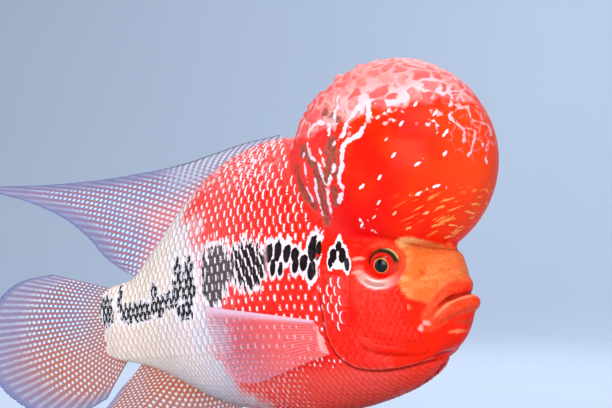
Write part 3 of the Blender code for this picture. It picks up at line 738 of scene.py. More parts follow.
# %% Plates
PLATE_REACH = 1.75
PLATE_HALF = 0.98
PLATE_THICKNESS = 0.042
UNEVEN = 0.03
FLANK_SINK, GILL_SINK, CHEEK_SINK = 0.45, 0.28, 0.30
FIRST_X, LAST_X = -7.4, 171
LARGE_GRID, SMALL_GRID = (7, 9), (5, 7)


def plate_faces(rows, columns, side):
    """The faces of one closed plate, whose upper grid of points is followed by its lower one."""
    per = rows * columns
    i, j = np.meshgrid(np.arange(rows - 1), np.arange(columns - 1), indexing="ij")
    a = (i * columns + j).ravel()
    upper = np.column_stack([a, a + 1, a + columns + 1, a + columns])
    edge = list(range(columns)) + [i * columns + columns - 1 for i in range(1, rows)]
    edge += [(rows - 1) * columns + j for j in range(columns - 2, -1, -1)]
    edge += [i * columns for i in range(rows - 2, 0, -1)]
    edge = np.array(edge)
    onward = np.roll(edge, -1)
    rim = np.column_stack([onward, edge, edge + per, onward + per])
    faces = np.vstack([upper, upper[:, ::-1] + per, rim])
    return faces[:, ::-1] if side > 0 else faces


def scale_plates(side, roots, sink, highest, rows, columns):
    """One closed plate for each root. u runs to the free edge and v from edge to edge across the plate.
    highest stops the flank's plates from climbing over the gill cover that they slip under."""
    u, v = np.meshgrid(np.linspace(0, 1, rows), np.linspace(-1, 1, columns), indexing="ij")
    count = len(roots)
    x, w, pitch, height = (column[:, None, None] for column in roots.T[:4])
    jitter = chance.normal(size=(3, count, 1, 1))
    reach = PLATE_REACH * pitch * (1 + UNEVEN * jitter[0])
    half = PLATE_HALF * height * (1 + UNEVEN * jitter[1])
    round_end = np.sqrt(np.clip(1 - (abs(v) * 0.98) ** 2.3, 0, 1))
    back = u * (0.30 + 0.70 * round_end)
    local_x = np.clip(x + 0.55 * pitch - back * reach, FIRST_X, LAST_X)
    local_w = w + v * half * (0.80 + 0.20 * np.sin(math.pi * np.clip(u * 0.75, 0, 1)))
    base = on_flank(local_x, local_w)
    out = flank_normal(local_x, local_w)
    level = np.minimum(relief(base.reshape(-1, 3)).reshape(local_x.shape), highest) - sink
    rise = level + pitch * (-0.075 + (0.215 + 0.013 * jitter[2]) * u ** 0.9 - 0.025 * v ** 2)
    top = base + out * rise[..., None]
    under = base + out * (rise - PLATE_THICKNESS * pitch)[..., None]
    points = np.stack([top, under], axis=1).reshape(-1, 3)
    points[:, 1] *= side
    per = rows * columns
    faces = plate_faces(rows, columns, side)[None] + (np.arange(count) * 2 * per)[:, None, None]
    whole = (count, 2, rows, columns)
    local = np.stack([np.broadcast_to(u, whole), np.broadcast_to(v, whole),
                      np.broadcast_to(chance.random((count, 1, 1, 1)), whole)], axis=-1).reshape(-1, 3)
    middle = on_flank(np.clip(roots[:, 0] - 0.5 * roots[:, 2], FIRST_X, LAST_X), roots[:, 1])
    return {"points": points, "faces": faces.reshape(-1, 4), "local": local, "middle": middle,
            "back": np.broadcast_to(back, whole).reshape(-1), "per": 2 * per}


def join_plates(parts):
    """Puts several sets of plates one after another."""
    starts = np.cumsum([0] + [len(part["points"]) for part in parts])
    kept = ("points", "local", "middle", "back")
    joined = {key: np.concatenate([part[key] for part in parts]) for key in kept}
    joined["faces"] = np.concatenate([part["faces"] + start for part, start in zip(parts, starts)])
    shares = np.concatenate([np.full(len(part["middle"]), part["per"]) for part in parts])
    joined["owner"] = np.repeat(np.arange(len(shares)), shares)
    return joined


def plate_piece(name, side, plates, slot):
    """The mesh of one side's plates, with each plate's patch on the map at its root's place."""
    mesh = new_mesh(name, pose(plates["points"]), plates["faces"])
    owner = plates["owner"]
    middle = plates["middle"] * (1, side, 1)
    store(mesh, "plate", plates["local"])
    store(mesh, "spot", plates["points"])
    spot_x, spot_z = plates["points"][:, 0], plates["points"][:, 2]
    store(mesh, "mark", marks_at(spot_x, spot_z), plates["back"], 0 * spot_x)
    cover, ridge = distance_to(GILL_EDGE, spot_x, spot_z), distance_to(CHEEK_RIDGE, spot_x, spot_z)
    store(mesh, "gill", cover, ridge, spot_z)
    store(mesh, "fish", middle[owner])
    middle[:, 1] = np.maximum(abs(middle[:, 1]), 0.05) * side
    map_u, map_v = body_chart(middle)
    corner = read(mesh.loops, "vertex_index")
    flat = plates["local"][corner]
    bake_map(mesh, np.column_stack([map_u[owner[corner]] - 0.003 * (flat[:, 0] - 0.5),
                                    map_v[owner[corner]] + 0.0015 * flat[:, 1]]))
    tint_plates(mesh, middle, owner)
    print(name, "faces:", len(mesh.polygons))
    return add_piece(name, mesh, slot=slot)


def tint_plates(mesh, middle, owner):
    """Each plate's own markings: how pale and how dark it is, and how long and wide its white dash is."""
    x, z = middle[:, 0], middle[:, 2]
    roll = chance.random((5, len(x)))
    soft = np.array([noise.noise(Vector((px * 0.09, pz * 0.09, 3.0))) for px, pz in zip(x, z)])
    pale = ramp(PALE_EDGE(z) - x + 12 * soft + 6 * (roll[0] - 0.5), -7, 8)
    measure = marks_at(x, z)
    dark = ramp(measure, 1.25, 0.95)
    beside = (measure >= 1.0) * ramp(measure, 1.5, 1.1) * ramp(x, 128, 124)
    cover, ridge = distance_to(GILL_EDGE, x, z), distance_to(CHEEK_RIDGE, x, z)
    on_head = cover > 1.5
    belly = ramp(z, -20, -30)
    upper = ramp(z, 24, 44) * ramp(x, 62, 88)
    dash = 0.13 + 0.15 * roll[2] + upper * (0.10 + 0.30 * roll[3]) + 0.16 * beside + 0.22 * pale
    dash = np.where(roll[4] < 0.04, 0.02, dash)
    dash = np.where(belly > 0.5, (0.12 + 0.40 * roll[3]) * ramp(x, 116, 92), dash)
    few = (roll[4] < 0.75 * ramp(z, -14, 2) * ramp(x, 140, 134)) * (ridge < 0)
    dash = np.where(on_head, few * (0.40 + 0.3 * roll[3]), dash)
    thin = 0.036 + 0.026 * roll[2] + 0.02 * beside + 0.025 * pale
    thin = thin * (1 - 0.25 * upper) * (1 - 0.35 * on_head)
    blotch = ramp(z, 50, 66) * ramp(x, 106, 84)
    store(mesh, "tone", np.column_stack([pale, dark, dash])[owner])
    store(mesh, "tone_two", np.column_stack([beside, belly, blotch])[owner])
    store(mesh, "tone_three", np.column_stack([thin, on_head, ridge > 0])[owner])


flank_pieces = []
for side, word in ((-1, "right"), (1, "left")):
    large = join_plates([scale_plates(side, ROOTS, FLANK_SINK, 0, *LARGE_GRID)])
    flank_pieces.append(plate_piece("scales_" + word, side, large, "flank_red"))
    small = join_plates([scale_plates(side, BELLY_ROOTS, FLANK_SINK, 0, *SMALL_GRID),
                         scale_plates(side, GILL_ROOTS, GILL_SINK, 9, *SMALL_GRID),
                         scale_plates(side, CHEEK_ROOTS, CHEEK_SINK, 9, *SMALL_GRID)])
    flank_pieces.append(plate_piece("small_scales_" + word, side, small, "skin_red"))

# %% [markdown]
# ## Fins
# A fin is a web of skin over fine jointed rays that fork towards the edge. It is one closed sheet here,
# swollen where a ray runs, so the rays catch the light from both sides.

# %% Fin sheets
WEB_HALF_THICKNESS = 0.26
COLUMNS_PER_RAY = 8


def fin_sheet(name, roots, tips, rays, rows=46, place=None, bow=0.0, wave=0.0, stiff=0.0, swell=0.34):
    """A fin as a closed sheet, with each point's place in it stored as (ray, mm from the root, share).
    roots and tips are (share across the fin, x, z), and stiff is the share of it whose rays don't fork."""
    columns = (rays - 1) * COLUMNS_PER_RAY + 1
    s = np.linspace(0, 1, columns)[:, None]
    t = np.linspace(0, 1, rows)[None, :]
    ray = s * (rays - 1)
    off = abs(ray - np.round(ray))
    fork = 0.2 * ramp(t, 0.35, 0.85) * (s > stiff)
    ridge = np.maximum(bell(off, fork, 0.085), 0)
    reach_t = t * (1 - 0.008 * (1 - bell(off, fork[:, -1:], 0.16)))
    root = np.stack([smooth_curve([(p[0], p[k]) for p in roots])(s) for k in (1, 2)], axis=-1)
    tip = np.stack([smooth_curve([(p[0], p[k]) for p in tips])(s) for k in (1, 2)], axis=-1)
    reach = tip - root
    sideways = np.stack([-reach[..., 1], reach[..., 0]], axis=-1)
    flat = root + reach * reach_t[..., None] + sideways * bow * np.sin(math.pi * reach_t)[..., None]
    y = wave * np.sin(math.pi * 2.2 * s + 0.8) * t * t
    thick = WEB_HALF_THICKNESS + ridge * swell * (1 - 0.75 * t)
    middle = np.stack([flat[..., 0], y + 0 * t, flat[..., 1]], axis=-1)
    points = np.stack([middle, middle])
    points[..., 1] += np.stack([-thick, thick])
    points = points.reshape(-1, 3)
    if place:
        points = place(points)
    count = columns * rows
    i, j = np.meshgrid(np.arange(columns - 1), np.arange(rows - 1), indexing="ij")
    a = (i * rows + j).ravel()
    near_side = np.column_stack([a, a + rows, a + rows + 1, a + 1])
    rim = [c * rows for c in range(columns)] + [(columns - 1) * rows + r for r in range(1, rows)]
    rim += [c * rows + rows - 1 for c in range(columns - 2, -1, -1)] + [r for r in range(rows - 2, 0, -1)]
    rim = np.array(rim)
    onward = np.roll(rim, -1)
    edge = np.column_stack([onward, rim, rim + count, onward + count])
    mesh = new_mesh(name, pose(points), np.vstack([near_side, near_side[:, ::-1] + count, edge]))
    length = np.linalg.norm(reach, axis=-1)
    web = np.stack(np.broadcast_arrays(ray, length * reach_t, t), axis=-1)
    web = np.vstack([web.reshape(-1, 3)] * 2)
    store(mesh, "web", web)
    store(mesh, "ridge", np.concatenate([ridge.ravel()] * 2))
    store(mesh, "fish", points)
    corner = read(mesh.loops, "vertex_index")
    far_side = corner >= count
    bake_map(mesh, np.column_stack([MAP_EDGE + MAP_SPAN * web[corner, 0] / (rays - 1) + 0.5 * far_side,
                                    MAP_EDGE + 0.98 * web[corner, 2]]))
    return mesh


def along_outline(height, sink, shift, x_from, x_to):
    return [(s, x_from + (x_to - x_from) * s + shift, height(x_from + (x_to - x_from) * s) - sink)
            for s in np.linspace(0, 1, 9)]


def beside_body(side):
    def place(points):
        x, y, z = points.T
        out = 30 + 0.10 * (120 - x) + 2.2 * np.sin((z + 10) * 0.12) * ramp(x, 118, 80)
        return np.column_stack([x, side * (out - 6 * ramp(x, 119, 128)) + y, z])
    return place


def under_belly(side):
    def place(points):
        x, y, z = points.T
        return np.column_stack([x, side * (9 - 0.32 * (z + 40)) + y, z])
    return place


fins = {
    "dorsal_fin": fin_sheet("fin_dorsal", along_outline(back_height, 4, 3, 97, 14),
                            ((0, 92, 77.2), (0.15, 73, 75.2), (0.3, 57, 71.8), (0.42, 43, 69), (0.52, 24, 67.2),
                             (0.6, -3, 66.2), (0.66, -34, 66.7), (0.71, -66, 68), (0.76, -44, 59.5),
                             (0.81, -27, 51), (0.87, -14, 40.5), (0.93, -6, 31), (1, 4, 23.5)),
                            rays=43, bow=-0.03, wave=2.5, stiff=0.5),
    "caudal_fin": fin_sheet("fin_caudal", ((0, 7, 13.5), (0.5, 5, -1), (1, 7, -14)),
                            ((0, -36, 25), (0.12, -54, 22.5), (0.24, -66, 14), (0.4, -71.5, -2),
                             (0.56, -69.5, -18), (0.7, -60, -31.5), (0.82, -45, -40), (0.92, -26, -40.5),
                             (1, -11, -34.5)), rays=31, wave=2.5),
    "anal_fin": fin_sheet("fin_anal", along_outline(belly_height, -4, 3, 63, 13),
                          ((0, 60, -46), (0.15, 50, -54), (0.3, 36, -60), (0.42, 20, -63.5), (0.52, 0, -65),
                           (0.6, -22, -65), (0.66, -42, -65), (0.73, -38, -59.5), (0.8, -29, -52.5),
                           (0.88, -16, -43), (1, -1, -29)), rays=29, bow=0.04, wave=2.0, stiff=0.4),
}
for side, word in ((-1, "right"), (1, "left")):
    fins["pectoral_fin_" + word] = fin_sheet("fin_pectoral_" + word, ((0, 127, -6), (1, 126.5, -18)),
                                             ((0, 71, 5), (0.15, 71, -1), (0.35, 73, -10), (0.55, 75, -19),
                                              (0.75, 80, -27.5), (0.9, 92, -28.5), (1, 106, -24)),
                                             rays=19, rows=36, place=beside_body(side), swell=0.12)
    fins["pelvic_fin_" + word] = fin_sheet("fin_pelvic_" + word, ((0, 116, -38), (1, 106, -39)),
                                           ((0, 83, -66), (0.2, 68, -67), (0.4, 78, -61), (0.6, 85, -56.5),
                                            (0.8, 91, -53), (1, 97, -48.5)), rays=6, rows=30,
                                           place=under_belly(side))
fin_pieces = {node: add_piece(mesh.name, mesh, node, slot="fin_membrane") for node, mesh in fins.items()}
print("fin faces:", sum(len(mesh.polygons) for mesh in fins.values()))

# %% [markdown]
# ## Eyes
# A fish's eye has no moving lid. A clear, wet ball sits in a fleshy rim, with a round pupil that stands a
# little forward in a red iris. It is one ball with its own polar map, so its rings stay round.

# %% Eyes


def eye_ball(side):
    """A ball whose pole is the gaze, with a low dome over the iris. Rings are stored in millimetres."""
    rings, sides = 48, 64
    fall = np.linspace(0, math.pi, rings + 1)[1:-1]
    turn = np.linspace(0, 2 * math.pi, sides, endpoint=False)
    fall_grid, turn_grid = np.meshgrid(fall, turn, indexing="ij")
    swell = EYE_RADIUS - 0.15 + 0.35 * ramp(fall_grid, 0.85, 0.2)
    gaze = np.array((0.18, side, -0.14))
    gaze /= np.linalg.norm(gaze)
    ahead = np.cross(gaze, (0, 0, 1))
    ahead /= np.linalg.norm(ahead)
    if ahead[0] < 0:
        ahead = -ahead
    above = np.cross(ahead, gaze)
    if above[2] < 0:
        above = -above
    ring = np.cos(turn_grid)[..., None] * ahead + np.sin(turn_grid)[..., None] * above
    ring = np.sin(fall_grid)[..., None] * ring
    ball = swell[..., None] * (np.cos(fall_grid)[..., None] * gaze + ring)
    centre = EYE_CENTRE * (1, side, 1)
    points = np.vstack([ball.reshape(-1, 3), [gaze * (EYE_RADIUS + 0.2)], [-gaze * EYE_RADIUS]]) + centre
    i, j = np.meshgrid(np.arange(rings - 2), np.arange(sides), indexing="ij")
    k = (j + 1) % sides
    quads = np.stack([i * sides + j, i * sides + k, (i + 1) * sides + k, (i + 1) * sides + j], axis=-1)
    quads = quads.reshape(-1, 4)
    front, rear, last = len(points) - 2, len(points) - 1, (rings - 2) * sides
    j = np.arange(sides)
    k = (j + 1) % sides
    caps = np.vstack([np.column_stack([k, j, j * 0 + front]),
                      np.column_stack([j + last, k + last, j * 0 + rear])])
    triangles = np.vstack([quads[:, [0, 1, 2]], quads[:, [0, 2, 3]], caps])
    mesh = new_mesh("eye", pose(points), triangles)
    shape = bmesh.new()
    shape.from_mesh(mesh)
    bmesh.ops.recalc_face_normals(shape, faces=shape.faces)
    shape.to_mesh(mesh)
    shape.free()
    radius = np.concatenate([(np.sin(fall_grid) * EYE_RADIUS).ravel(), [0, 0]])
    behind = np.concatenate([fall_grid.ravel(), [0, math.pi]]) > math.pi / 2
    radius = np.where(behind, 2 * EYE_RADIUS - radius, radius)
    sine = np.concatenate([np.sin(turn_grid).ravel(), [0, 0]])
    cosine = np.concatenate([np.cos(turn_grid).ravel(), [0, 0]])
    store(mesh, "eye", radius, cosine, sine)
    store(mesh, "fish", points)
    return mesh


eyes = []
for side, word in ((-1, "right"), (1, "left")):
    mesh = eye_ball(side)
    mesh.name = "eyeball_" + word
    eyes.append(add_piece("eyeball_" + word, mesh, "eye_" + word, slot="eye_wet"))
print("eyes:", len(eyes))

# %% [markdown]
# ## Materials as sums
# A material is a chain of small nodes. Wiring them by hand hides the sum, so one class wraps a socket and
# lets masks be written as plain arithmetic. Another holds a material and adds any other node. Colours are
# given as a screen shows them, from 0 to 255, and turned to the light that they stand for.

# %% Wires and looks


def paint(*screen):
    """A colour as a screen shows it, turned to light."""
    return tuple((c / 255 / 12.92) if c <= 10 else ((c / 255 + 0.055) / 1.055) ** 2.4 for c in screen)


class Wire:
    """One number that varies over a surface."""

    def __init__(self, look, socket):
        self.look, self.socket = look, socket

    def math(self, operation, *values):
        return self.look.node("ShaderNodeMath", {"operation": operation}, dict(enumerate(values)))

    def __add__(self, other):
        return self.math("ADD", self, other)

    def __sub__(self, other):
        return self.math("SUBTRACT", self, other)

    def __rsub__(self, other):
        return self.math("SUBTRACT", other, self)

    def __mul__(self, other):
        return self.math("MULTIPLY", self, other)

    def __truediv__(self, other):
        return self.math("DIVIDE", self, other)

    __radd__, __rmul__ = __add__, __mul__

    def size(self):
        return self.math("ABSOLUTE", self)

    def root(self):
        return self.math("SQRT", self)

    def part(self):
        """What is left after the whole number."""
        return self.math("FRACT", self)

    def least(self, other):
        return self.math("MINIMUM", self, other)

    def most(self, other):
        return self.math("MAXIMUM", self, other)

    def within(self, start, end):
        """A smooth step from 0 at start to 1 at end, the other way round where end is less."""
        return self.look.node("ShaderNodeMapRange", {"interpolation_type": "SMOOTHSTEP"},
                              {"Value": self, "From Min": start, "From Max": end})


class Look:
    """One material."""

    def __init__(self, name, roughness=0.35, coat=0.0, **inputs):
        self.material = bpy.data.materials.new(name)
        self.material.use_nodes = True
        self.tree = self.material.node_tree
        self.shader = self.tree.nodes["Principled BSDF"]
        inputs = {"Roughness": roughness, "Coat_Weight": coat, "Coat_Roughness": 0.06, **inputs}
        for socket, value in inputs.items():
            self.shader.inputs[socket.replace("_", " ")].default_value = value

    def feed(self, socket, value):
        if isinstance(value, Wire):
            self.tree.links.new(value.socket, socket)
        else:
            socket.default_value = (*value, 1) if socket.type == "RGBA" else value

    def node(self, kind, settings=None, values=None, out=0):
        """Any node: its settings first, then the values or links of its sockets, then the output wanted."""
        made = self.tree.nodes.new(kind)
        for name, value in (settings or {}).items():
            setattr(made, name, value)
        for key, value in (values or {}).items():
            self.feed(made.inputs[key], value)
        return Wire(self, made.outputs[out])

    def stored(self, name, out="Vector"):
        return self.node("ShaderNodeAttribute", {"attribute_name": name}, out=out)

    def parts(self, name):
        """The three numbers of a stored triple."""
        split = self.tree.nodes.new("ShaderNodeSeparateXYZ")
        self.feed(split.inputs[0], self.stored(name))
        return [Wire(self, output) for output in split.outputs]

    def moved(self, place, stretch, shift=(0, 0, 0)):
        return self.node("ShaderNodeVectorMath", {"operation": "MULTIPLY_ADD"},
                         {0: place, 1: stretch, 2: shift})

    def noise(self, place, scale, detail=2.0):
        return self.node("ShaderNodeTexNoise", None, {"Vector": place, "Scale": scale, "Detail": detail})

    def mix(self, share, first, second):
        first, second = (paint(*tint) if isinstance(tint, tuple) else tint for tint in (first, second))
        return self.node("ShaderNodeMix", {"data_type": "RGBA"}, {0: share, 6: first, 7: second}, out=2)

    def layers(self, under, *coats):
        """Lays each (share, colour) over what is under it, in turn."""
        for share, colour in coats:
            under = self.mix(share, under, colour)
        return under

    def set(self, name, value):
        self.feed(self.shader.inputs[name], value)

    def bump(self, height, distance):
        self.set("Normal", self.node("ShaderNodeBump", None, {"Height": height, "Distance": distance * MM,
                                                              "Strength": 0.5}))

    def onto(self, *pieces):
        for piece in pieces:
            piece.data.materials.clear()
            piece.data.materials.append(self.material)


RED = (244, 24, 11)
DEEP_RED = (220, 16, 16)
PINK = (246, 132, 128)
PEARL = (240, 246, 252)
CREAM = (228, 208, 180)
LAVENDER = (202, 200, 208)
print("red as light:", [round(c, 3) for c in paint(*RED)])

# %% [markdown]
# ## The hump's colours
# The red deepens low behind and turns pink on top, where the pale network spreads. Each row below is a share
# and a colour, laid over the rows before it as thin paint is, so their order is the order of the work.

# %% Hump colours


def ovals(x, z, *places):
    """How far (x, z) lies from the nearest oval, 1 at its edge. A place is a middle and two halves."""
    nearest = None
    for middle_x, middle_z, half_x, half_z in places:
        over, up = (x - middle_x) / half_x, (z - middle_z) / half_z
        away = (over * over + up * up).root()
        nearest = away if nearest is None else nearest.least(away)
    return nearest


def hump_colour(look):
    """The ball with its network, strokes and brown patches, and where the network and its lines lie."""
    fish = look.stored("fish")
    ahead, across, up = look.parts("hump_way")
    net, tint, _ = look.parts("hump_net")
    white_past, brown_past, _ = look.parts("strokes")
    cloud = look.noise(fish, 0.055, 3)
    patch = look.noise(look.moved(fish, (1, 1, 1), (40, 0, 0)), 0.13)
    fine = look.noise(fish, 0.5)
    knobs = look.noise(fish, 0.30) - 0.5
    grain = look.noise(look.moved(fish, (1.2, 1.2, 0.5)), 1.0)
    place = up + 0.34 * (cloud - 0.5) + 0.26 * (patch - 0.5)
    crown = (place + 0.22 * ahead.within(0.1, -0.5)).within(0.44, 0.54)
    top = place.within(0.60, 0.85)
    island = crown * net.within(0.4, 1.2) * tint.within(0.15, 0.5)
    brown = (brown_past + 4.0 * knobs + 2.6 * (fine - 0.5)).within(0.5, -0.5)
    ball = look.layers(
        look.mix(cloud.within(0.38, 0.66), (248, 24, 6), (252, 48, 6)),
        (up.within(0.05, -0.75) * ahead.within(0.45, -0.25), (228, 12, 14)),
        (ahead.within(0.45, 0.95) * 0.6, (252, 82, 30)),
        (ahead.within(-0.15, -0.6) * 0.6, (236, 66, 62)),
        (crown * 0.8, look.mix(fine.within(0.3, 0.7), (246, 140, 136), (250, 172, 166))),
        (island * (0.9 - 0.3 * top), (238, 84, 82)),
        (brown * 0.85, look.mix(grain.within(0.4, 0.6), (108, 62, 52), (162, 84, 68))))

    coast = crown * place.within(0.80, 0.60) * ahead.within(-0.5, -0.2)
    front = ahead.within(0.66, 0.88) * across.size().within(0.70, 0.5) * up.within(-0.15, 0.15)
    behind = ahead.within(-0.20, -0.34) * up.within(-0.78, -0.6)
    zone = crown.most(behind * 0.95).most(front * 0.7)
    wide = 0.16 + (1.0 * coast + 0.5 * crown) * patch.within(0.42, 0.62) * ahead.within(0.86, 0.58)
    shown = crown.most(front * 0.75) * (patch + 0.3 * (fine - 0.5)).within(0.32, 0.42)
    shown *= 1 - 0.6 * ahead.within(0.05, -0.2)
    drawn = (white_past + 3.4 * knobs + 2.2 * (fine - 0.5)).within(0.04, -0.40)
    loose = look.noise(look.moved(fish, (1, 1, 1), (0, 30, 0)), 0.22, 3).within(0.61, 0.65)
    loose *= place.within(0.24, 0.32) * place.within(0.56, 0.50) * ahead.within(-0.4, -0.2)
    line = (net - wide + 0.7 * (fine - 0.5)).within(0.30, -0.12) * shown
    line = line.most(drawn).most(loose)
    white = look.mix((coast * 0.7).most(drawn * up.within(0.9, 0.7)), (238, 170, 170), (232, 214, 220))
    return look.mix(line * (0.92 - 0.35 * front - 0.25 * top), ball, white), zone, line


def dash_colour(look, ball, zone):
    """Loose strokes of pearl on the clear sides of the hump, yellow ones low in front."""
    along, beside, size = look.parts("hump_dash")
    ahead, _, up = look.parts("hump_way")
    fish = look.stored("fish")
    reach = along / (0.55 + 1.1 * size)
    width = (beside + 1.1 * (look.noise(fish, 0.9) - 0.5)) / (
        (0.38 + 0.22 * size) * (1 - 0.3 * up.within(-0.2, -0.5)))
    seen = zone.within(0.4, 0.1) * size.within(0.34, 0.36) * up.within(-0.86, -0.80)
    mark = (reach * reach + width * width).within(1.25, 0.75) * (seen * ahead.within(0.86, 0.76))
    tilted = look.node("ShaderNodeVectorRotate", {"rotation_type": "Y_AXIS"}, {"Vector": fish, "Angle": 0.35})
    streak = look.noise(look.moved(tilted, (0.07, 0.2, 0.8)), 1.0).within(0.58, 0.63)
    streak *= up.within(-0.26, -0.46) * ahead.within(0.2, 0.55) * up.within(-0.84, -0.7)
    return look.layers(
        ball,
        (mark * 0.9, look.mix(up.within(-0.30, -0.62) * ahead.within(-0.1, 0.2), PEARL, (250, 170, 92))),
        (streak * 0.75, (252, 164, 72)))


print("hump colours: the ball, then its dashes")

# %% [markdown]
# ## Marks of the head, and painted shadows
# A black crown-shaped mark sits on the gill cover in a white outline. A thin shadow is painted under the
# cover's free edge and a highlight on its rim, and shade is painted before the cheek's ridge. Each is drawn
# from a distance, so its edge stays sharp however near the eye is.

# %% Head marks
CROWN_MARK = ((0.2, 3.6, 1.3, 3.0), (-1.9, 0.6, 1.5, 3.0), (1.9, 0.4, 1.6, 3.2), (3.7, -3.4, 1.0, 2.8),
              (-3.3, -2.4, 0.9, 2.2))
print("ovals in the crown-shaped mark:", len(CROWN_MARK))


def head_mark(look, skin, x, z):
    """The black crown-shaped mark on the gill cover in its white outline."""
    fish = look.stored("fish")
    shake = look.noise(fish, 0.45) - 0.5
    ripple = look.noise(fish, 1.1) - 0.5
    x, z = x - HEAD_MARK[0] + 1.6 * shake, z - HEAD_MARK[1] - 1.2 * shake
    crown = ovals(x, z, *CROWN_MARK)
    white = (crown + 0.8 * ripple).within(1.62, 1.42)
    white = white.most(ovals(x, z, (0.4, -4.0, 2.6, 1.3)).within(1.1, 0.9))
    white = white.most(ovals(x, z, (0.2, 7.2, 0.8, 2.6)).within(1.1, 0.8))
    black = crown.within(1.12, 0.92) * ovals(x, z, (-0.1, 1.2, 0.5, 1.1)).within(0.9, 1.2)
    return look.layers(skin, (white, (244, 236, 240)), (black, (30, 16, 18)))


def gill_shadow_lines(look, skin):
    """Painted shadow under the gill cover's free edge, painted highlight on its rim, painted shade by the cheek
    ridge.
    """
    cover, ridge, z = look.parts("gill")
    shake = 1.2 * (look.noise(look.stored("gill"), 0.25) - 0.5)
    # Painted shadow under the cover's free edge, a painted highlight on its rim, painted shade in the ridge's
    # fold.
    edge_shadow = (cover + 0.5 + shake).size().within(0.75, 0.2) * z.within(14, 2)
    rim_highlight = (cover - 0.7 + shake).size().within(0.7, 0.2) * z.within(8, -4)
    fold = (ridge + 1.6 + shake).size().within(0.9, 0.2) * z.within(18, 8)
    return look.layers(skin, (edge_shadow * 0.8, (160, 12, 8)), (rim_highlight * 0.3, (255, 128, 104)),
                       (fold * 0.45, (180, 14, 8)))


# %% [markdown]
# ## Skin finish
# Live skin is wet: a thin clear gloss over a soft colour. A strong gloss would wash the reds out, so it is
# kept low. The face is tan with freckles, the lips are pinker, and a pale patch lies under the eye. Highlights
# are painted on the lower lip and the chin, and shade in the mouth's gap, the crease and under the lower lip.

# %% Skin material


def face_colour(look, x, z):
    """The tan skin between eye, hump and lips, redder towards the mouth and freckled, with painted light under
    the hump.
    """
    fish = look.stored("fish")
    cloud = look.noise(fish, 0.06, 3)
    streaks = look.noise(look.moved(fish, (0.12, 0.12, 0.42)), 1.0, 3)
    freckle = look.noise(fish, 1.3, 3).within(0.51, 0.64) * x.within(157, 163)
    pores = look.noise(fish, 3.0, 1).within(0.66, 0.72)
    return look.layers(
        look.mix(cloud.within(0.42, 0.62), (224, 138, 72), (230, 110, 44)),
        (streaks.within(0.44, 0.6) * x.within(155, 162) * 0.6, (228, 92, 34)),
        (x.within(162, 176) * 0.5, (234, 104, 62)),
        (z.within(12, 2) * 0.7, (240, 104, 46)),
        (x.within(161, 156) * (streaks + 0.5).within(0.9, 1.1) * 0.7, (232, 170, 108)),
        # A lighter band at the top of the tan face: partly its own pale tan, partly painted light against the
        # hump's shadow.
        (z.within(22.5, 25.5) * x.within(174, 160) * 0.85, (252, 182, 116)),
        (freckle * 0.7, (212, 78, 26)),
        (pores * 0.5, (206, 84, 40)))


